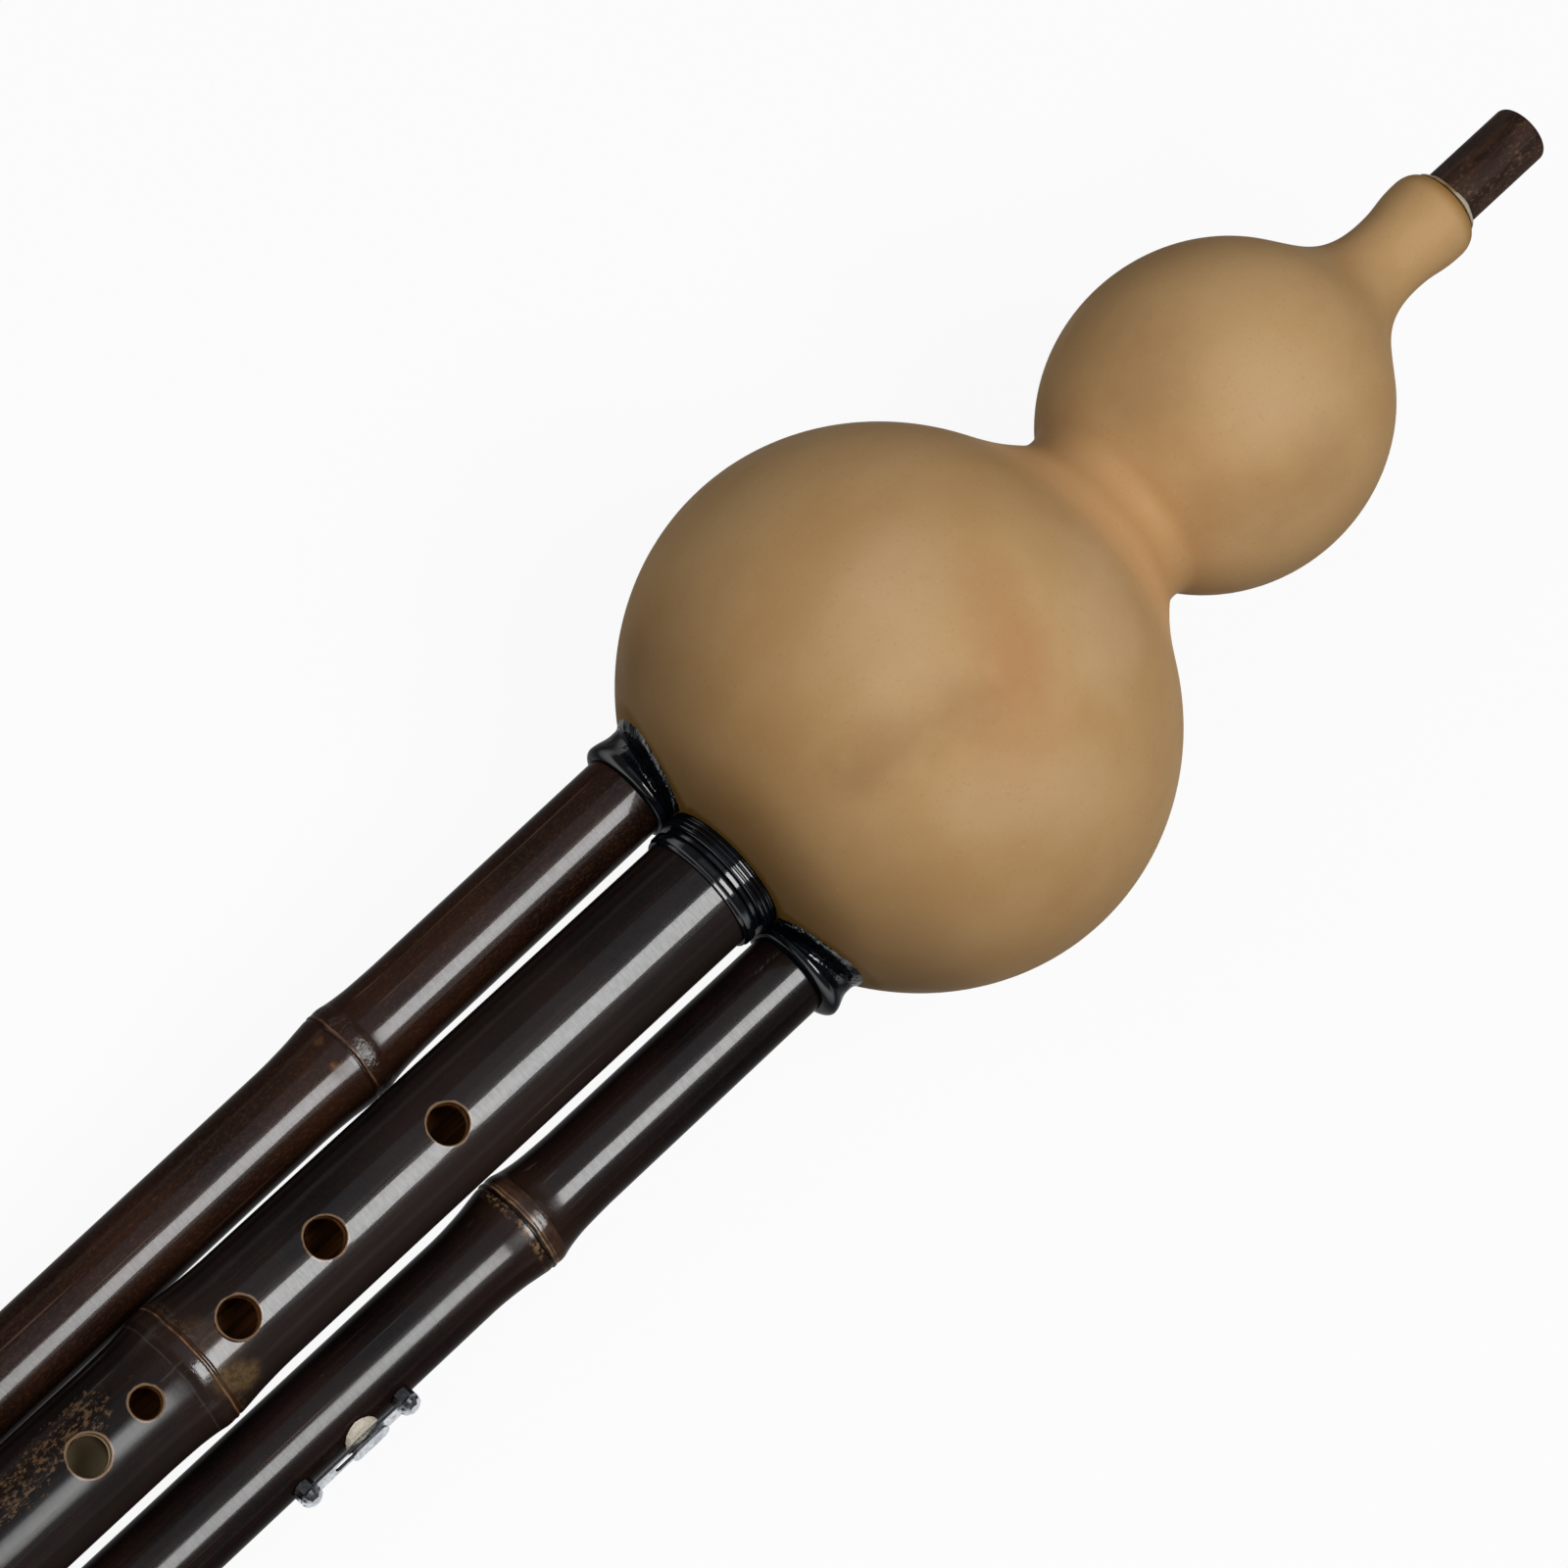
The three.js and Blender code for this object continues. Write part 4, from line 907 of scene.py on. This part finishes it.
def collar(name, drone, resin, seed):
    """A lip and a waist of black resin, and a crinkled skirt poured over the gourd."""
    place = drone_place(drone)
    home, side = place.inverted(), drone["side"]
    bore, waist = drone["radius"] + 0.04, drone["radius"] + CLEARANCE + drone["waist"]
    crest = drone["radius"] + CLEARANCE + drone["lip"]
    lip_at = COLLAR_BOTTOM + COLLAR_LIP
    lip = arc(lip_at, COLLAR_LIP, crest - bore, 180, 90, 9, bore)
    neck_steps, skirt_steps = 8, 22

    def ray(a, y, z, radius):
        """Where a ray from the drone's axis is nearest to a circle's middle, and its half chord squared."""
        along = y * sin(a) + z * cos(a)
        return along, along * along - (y * y + z * z - radius ** 2)

    def reach(a):
        """How far the skirt goes from the drone's axis."""
        dy, dz = sin(a), cos(a)
        along, half = ray(a, -side * SKIRT_INWARD, SKIRT_FORWARD, SKIRT_RADIUS)
        far = along + sqrt(half) - SKIRT_DRAWN - SKIRT_TRIM * smooth(0.2, 0.95, side * dy)
        far -= SKIRT_TUCK * smooth(0.1, 0.7, -side * dy) * smooth(0, 0.7, dz)
        p = Vector((dy * 2.6, dz * 2.6, seed))
        return max(far + 0.3 * noise.noise(p) + 0.15 * noise.noise(p * 3.1), waist + 0.5)

    def limit(a):
        """Where a ray from the drone's axis meets the socket's ring, if it does."""
        along, half = ray(a, side * drone["spacing"], -SET_BACK, SOCKET_RADIUS + 0.12)
        return -along - sqrt(half) if half > 0 and along < 0 else 1000

    def height(radius, a):
        """Local position of the gourd's skin at a point round the drone."""
        spot = place @ (Vector((COLLAR_WAIST_AT, radius * sin(a), radius * cos(a))) * MM)
        level = gourd_foot_at(hypot(spot.y, spot.z) / MM)
        return (home @ Vector((level * MM, spot.y, spot.z))).x / MM

    def form(j, _, a):
        far, stop = reach(a), limit(a)
        lump = 0.08 * noise.noise(Vector((sin(a) * 1.8, cos(a) * 1.8, seed + 4)))
        if j < len(lip):
            x, r = lip[int(j)]
            return x + lump, min(r, stop)
        start = height(waist, a) - SKIRT_THICK - 0.1
        j -= len(lip)
        if j < neck_steps:
            t = (j + 1) / (neck_steps + 1)
            x = lip_at + lump + (start - lip_at) * t
            r = crest + (waist - crest) * smooth(0, 0.8, t)
            return x, min(r, stop)
        j -= neck_steps
        under = j >= skirt_steps
        t = (2 * skirt_steps - 1 - j if under else j) / (skirt_steps - 1)
        low = bore if under else waist
        r = low + (far - low) * t
        skin_x = height(min(r, stop), a)
        if under:
            return skin_x - 0.02, min(r, stop)
        p = Vector((sin(a) * r * 0.42 + seed, cos(a) * r * 0.42, seed * 2))
        crinkle = 0.2 * noise.noise(p * 1.6) + 0.12 * noise.noise(p * 4.2)
        bead = 0.10 * exp(-((far - r - 1.3) / 0.7) ** 2)
        thick = SKIRT_THICK * 0.62 + bead + crinkle * smooth(0, 0.25, t)
        thick *= sqrt(max(0, 1 - smooth(far - 1, far, r) ** 2))
        fillet = (SKIRT_THICK + 0.1 - thick) * (1 - smooth(0, 0.22, t))
        return skin_x - max(thick + fillet, 0.03), min(r, stop)
    count = len(lip) + neck_steps + 2 * skirt_steps
    rows = [(float(j), 1) for j in range(count)]
    obj = new_object(name + "_resin_collar", lathe(rows + rows[:1], 180, form), place, 60)
    finish(obj, "wind_chest", name + "_collar", resin)


def socket(resin):
    """The ridged ring under the gourd and the sleeve behind it."""
    low = SOCKET_RADIUS - RIDGE_DEPTH * 0.8
    full = SOCKET_RADIUS
    rows = [(SOCKET_BOTTOM, SLEEVE_BORE), (SOCKET_BOTTOM, SOCKET_NECK - 0.15),
            (SOCKET_BOTTOM + 0.15, SOCKET_NECK), (RIDGES_FROM - 0.12, SOCKET_NECK)]
    for ridge in range(3):
        at = RIDGES_FROM + ridge * RIDGE_PITCH
        rows += [(at, low), (at + 0.08, low + 0.08), (at + 0.18, full - 0.03), (at + 0.35, full),
                 (at + 0.52, full - 0.03), (at + 0.62, low + 0.08), (at + 0.70, low)]
    rows += [(FOOT_AT - 0.1, full - 0.1), (RING_TOP, full - 0.1), (RING_TOP, SLEEVE_RADIUS),
             (SLEEVE_TOP, SLEEVE_RADIUS), (SLEEVE_TOP, SLEEVE_BORE), (SOCKET_BOTTOM, SLEEVE_BORE)]
    obj = new_object("socket_ring", lathe([(x, r * PIPE_SHARE) for x, r in rows], 128), angle=35)
    # What lies inside the gourd is cut off, but for the sleeve
    end, wide, edge = 60, 50, (SLEEVE_RADIUS + 0.001) * PIPE_SHARE
    outer = [(x, r * GOURD_SHARE) for x, r in offset(gourd_outline(2), 0.15) if x < end] + [(end, 0)]
    hollow = [(-end, edge), (-end, wide), (end, wide), (end, edge), (-end, edge)]
    cutter = tool(lathe(outer, 128, skin_form))
    boolean(cutter, [tool(lathe(hollow, 128))], "INTERSECT")
    boolean(obj, [cutter])
    shade(obj, 35)
    finish(obj, "wind_chest", "socket_base", resin)


def ferrule(resin):
    """A ring with a thin groove at its foot and a sloping shoulder that makes the recess under the socket."""
    bore, out = PIPE_RADIUS + 0.03, FERRULE_RADIUS
    low, high = FERRULE_BOTTOM, FERRULE_TOP
    hole = TENON_RADIUS + CLEARANCE
    rows = [(low, bore), (low, out - 0.36), (low + 0.08, out - 0.28), (low + 0.45, out - 0.30),
            (low + 0.56, out - 0.12), (low + 0.72, out), (high - 0.34, out), (high - 0.16, out - 0.08),
            (high, out - 0.34), (high, hole), (FERRULE_FACE, hole), (FERRULE_FACE, bore), (low, bore)]
    obj = new_object("ferrule_ring", lathe([(x, r * PIPE_SHARE) for x, r in rows], 128), angle=40)
    finish(obj, "melody_pipe", "melody_ferrule", resin)


def mouthpiece():
    rows = [(TUBE_BOTTOM, TUBE_BORE)]
    rows += [(x, TUBE_RADIUS) for x in range(TUBE_BOTTOM, TUBE_TOP - 1, 3)]
    rows += arc(TUBE_TOP - TUBE_ROUND, TUBE_ROUND, TUBE_ROUND, 90, 0, 6, TUBE_RADIUS - TUBE_ROUND)
    rows += [(TUBE_TOP, TUBE_BORE), rows[0]]
    obj = bamboo("mouthpiece_bamboo", rows, 0.995, 96, Matrix(), 23, 0, [])
    finish(obj, "wind_chest", "mouthpiece_tube", mouthpiece_material())


def seal():
    """An uneven bead of glue, thickest over its pale blob."""
    inner, start = TUBE_RADIUS + CLEARANCE, GOURD_TOP + CLEARANCE
    rows = [(start, inner)] + arc(start, SEAL_HEIGHT, SEAL_WIDTH, 90, 0, 9, inner)
    rows.append(rows[0])
    middle = [sum(values) / 2 for values in zip(*GLUE_BLOB)]
    blob_angle = atan2(middle[1], middle[2])

    def change(x, r, a):
        if r <= inner + 1e-6 and x <= start + 1e-6:
            return x, r
        p = Vector((sin(a) * 2.2 + 4, cos(a) * 2.2, x * 0.5))
        lump = 0.66 + 0.18 * noise.noise(p) + 0.3 * exp(-((a - blob_angle % (2 * pi)) / 0.55) ** 2)
        lump = min(lump, 1)
        return start + (x - start) * lump, inner + (r - inner) * (0.45 + 0.55 * lump)
    obj = new_object("glue_bead", lathe(rows, 96, change), angle=60)
    finish(obj, "wind_chest", "mouthpiece_seal", glue_material())


def dress(material, *nodes):
    """The key's metal and the hidden pieces keep their solids."""
    for node in nodes:
        put_on(frame["nodes"][node], material)
        shade(frame["nodes"][node], 35)


def small_parts():
    pad = plain_material("key_pad", (206, 196, 176), (222, 213, 195), 1600, 0.6, 0.8, 0.02)
    cork = plain_material("cork", (150, 108, 66), (196, 152, 102), 700, 0.75, 0.95, 0.15)
    brass = plain_material("reed_brass", (176, 132, 62), (214, 172, 96), 900, 0.22, 0.4, 0.01, 0.1,
                           Metallic=1)
    rubber = plain_material("rubber_plug", (22, 20, 20), (44, 42, 40), 800, 0.6, 0.8, 0.04)
    dress(chrome_material(), "key_rail", "key_screw_upper", "key_screw_lower", "key_slider")
    dress(pad, "key_pad")
    dress(rubber, "right_foot_plug")
    dress(cork, "melody_plug", "left_plug", "right_plug", "tenon_seal_lower", "tenon_seal_upper")
    dress(brass, "melody_reed", "left_reed", "right_reed")


# Floor, light and camera
FLOOR_WHITE = 0.93
AMBIENT = 0.07
AIM = Vector((-20.8, 3.17, 0)) * MM


def floor():
    """A floor that the camera and mirror rays see as nearly white, and that throws little light back."""
    bm = bmesh.new()
    bmesh.ops.create_grid(bm, x_segments=1, y_segments=1, size=6.0)
    obj = new_object("floor", bm, FLUTE.inverted())
    n = Nodes("floor")
    path = n.new("LightPath").outputs
    mirrored = n.math("MAXIMUM", path["Is Glossy Ray"], path["Is Transmission Ray"])
    seen = n.math("MAXIMUM", path["Is Camera Ray"], mirrored)
    n.colour = n.mix(n.noise(3, 2, 0.5), (208, 208, 208), (214, 214, 214))
    n.colour = n.mix(seen, (84, 84, 84), n.colour)
    n.set(Roughness=0.9, Specular_IOR_Level=0)
    white = n.new("Emission", Strength=1).outputs[0]
    n.blend(n.math("MULTIPLY", seen, FLOOR_WHITE), n.shader.outputs[0], white)
    put_on(obj, n.material)


def world():
    """An even grey studio; the camera sees white, and so do mirror rays near the horizon."""
    made = bpy.data.worlds.new("studio")
    scene.world = made
    made.use_nodes = True
    w = Tree(made.node_tree, "OutputWorld")
    path = w.new("LightPath").outputs
    height = w.new("SeparateXYZ", Vector=w.new("TexCoord").outputs["Generated"]).outputs[2]
    low = w.ramp(height, 0, 0.25, 1, 0, "LINEAR")
    mirrored = w.math("MULTIPLY", path["Is Glossy Ray"], low)
    clear = w.math("MAXIMUM", w.math("MAXIMUM", path["Is Camera Ray"], mirrored), path["Is Transmission Ray"])
    plain = (1, 1, 1, 1)
    studio, white = (w.new("Background", Color=plain, Strength=level).outputs[0] for level in (AMBIENT, 1))
    w.blend(clear, studio, white)


def stand(obj, across, up, back, distance):
    """Puts a lamp or the camera at a distance from what it looks at."""
    scene.collection.objects.link(obj)
    place = Matrix((across, up, back)).transposed().to_4x4()
    place.translation = AIM + back * distance
    obj.matrix_world = FLUTE @ place


def softbox(name, azimuth, lean, distance, wide, long, radiance, colour=(1, 1, 1), mirrored=True):
    """A lamp turned round the flute's axis towards the right drone and leaning towards the mouthpiece."""
    a, b = radians(azimuth), radians(lean)
    direction = Vector((sin(b), -sin(a) * cos(b), cos(a) * cos(b)))
    data = bpy.data.lights.new(name, "AREA")
    data.shape = "RECTANGLE"
    data.size, data.size_y = wide, long
    data.energy = radiance * pi * wide * long
    data.color = colour
    obj = bpy.data.objects.new(name, data)
    obj.visible_glossy = mirrored
    across = Vector((0, -cos(a), -sin(a)))
    stand(obj, across, direction.cross(across).normalized(), direction, distance)


def camera():
    distance, tilt, roll = 800 * MM, radians(17), radians(42.64)
    focal_px, frame_px, sensor = 5600, 1600, 36
    along = Vector((cos(tilt), 0, sin(tilt)))
    across = Vector((0, -1, 0))
    back = Vector((-sin(tilt), 0, cos(tilt)))
    right = along * cos(roll) + across * sin(roll)
    up = along * sin(roll) - across * cos(roll)
    data = bpy.data.cameras.new("camera")
    data.sensor_width = sensor
    data.lens = focal_px / frame_px * sensor
    data.clip_start, data.clip_end = 0.01, 50
    obj = bpy.data.objects.new("camera", data)
    stand(obj, right, up, back, distance)
    scene.camera = obj


black_resin = resin_material()
gourd()
melody_pipe()
drones()
collar("left", LEFT, black_resin, 2)
collar("right", RIGHT, black_resin, 9)
socket(black_resin)
ferrule(black_resin)
mouthpiece()
seal()
small_parts()
floor()
world()
# Lamps: angle and lean in degrees, distance, width and length in metres, radiance and tint
softbox("key", 23, 9, 1.1, 0.60, 0.60, 7.6)
softbox("side", -20, 9, 1.2, 0.8, 0.9, 0.21, (0.78, 0.86, 1))
softbox("head", 20, 52, 1.2, 0.9, 0.5, 0.2, (1, 0.98, 0.95))
softbox("fill", -24, -30, 1.2, 0.9, 0.9, 2, mirrored=False)
camera()
scene.view_settings.view_transform = "Standard"
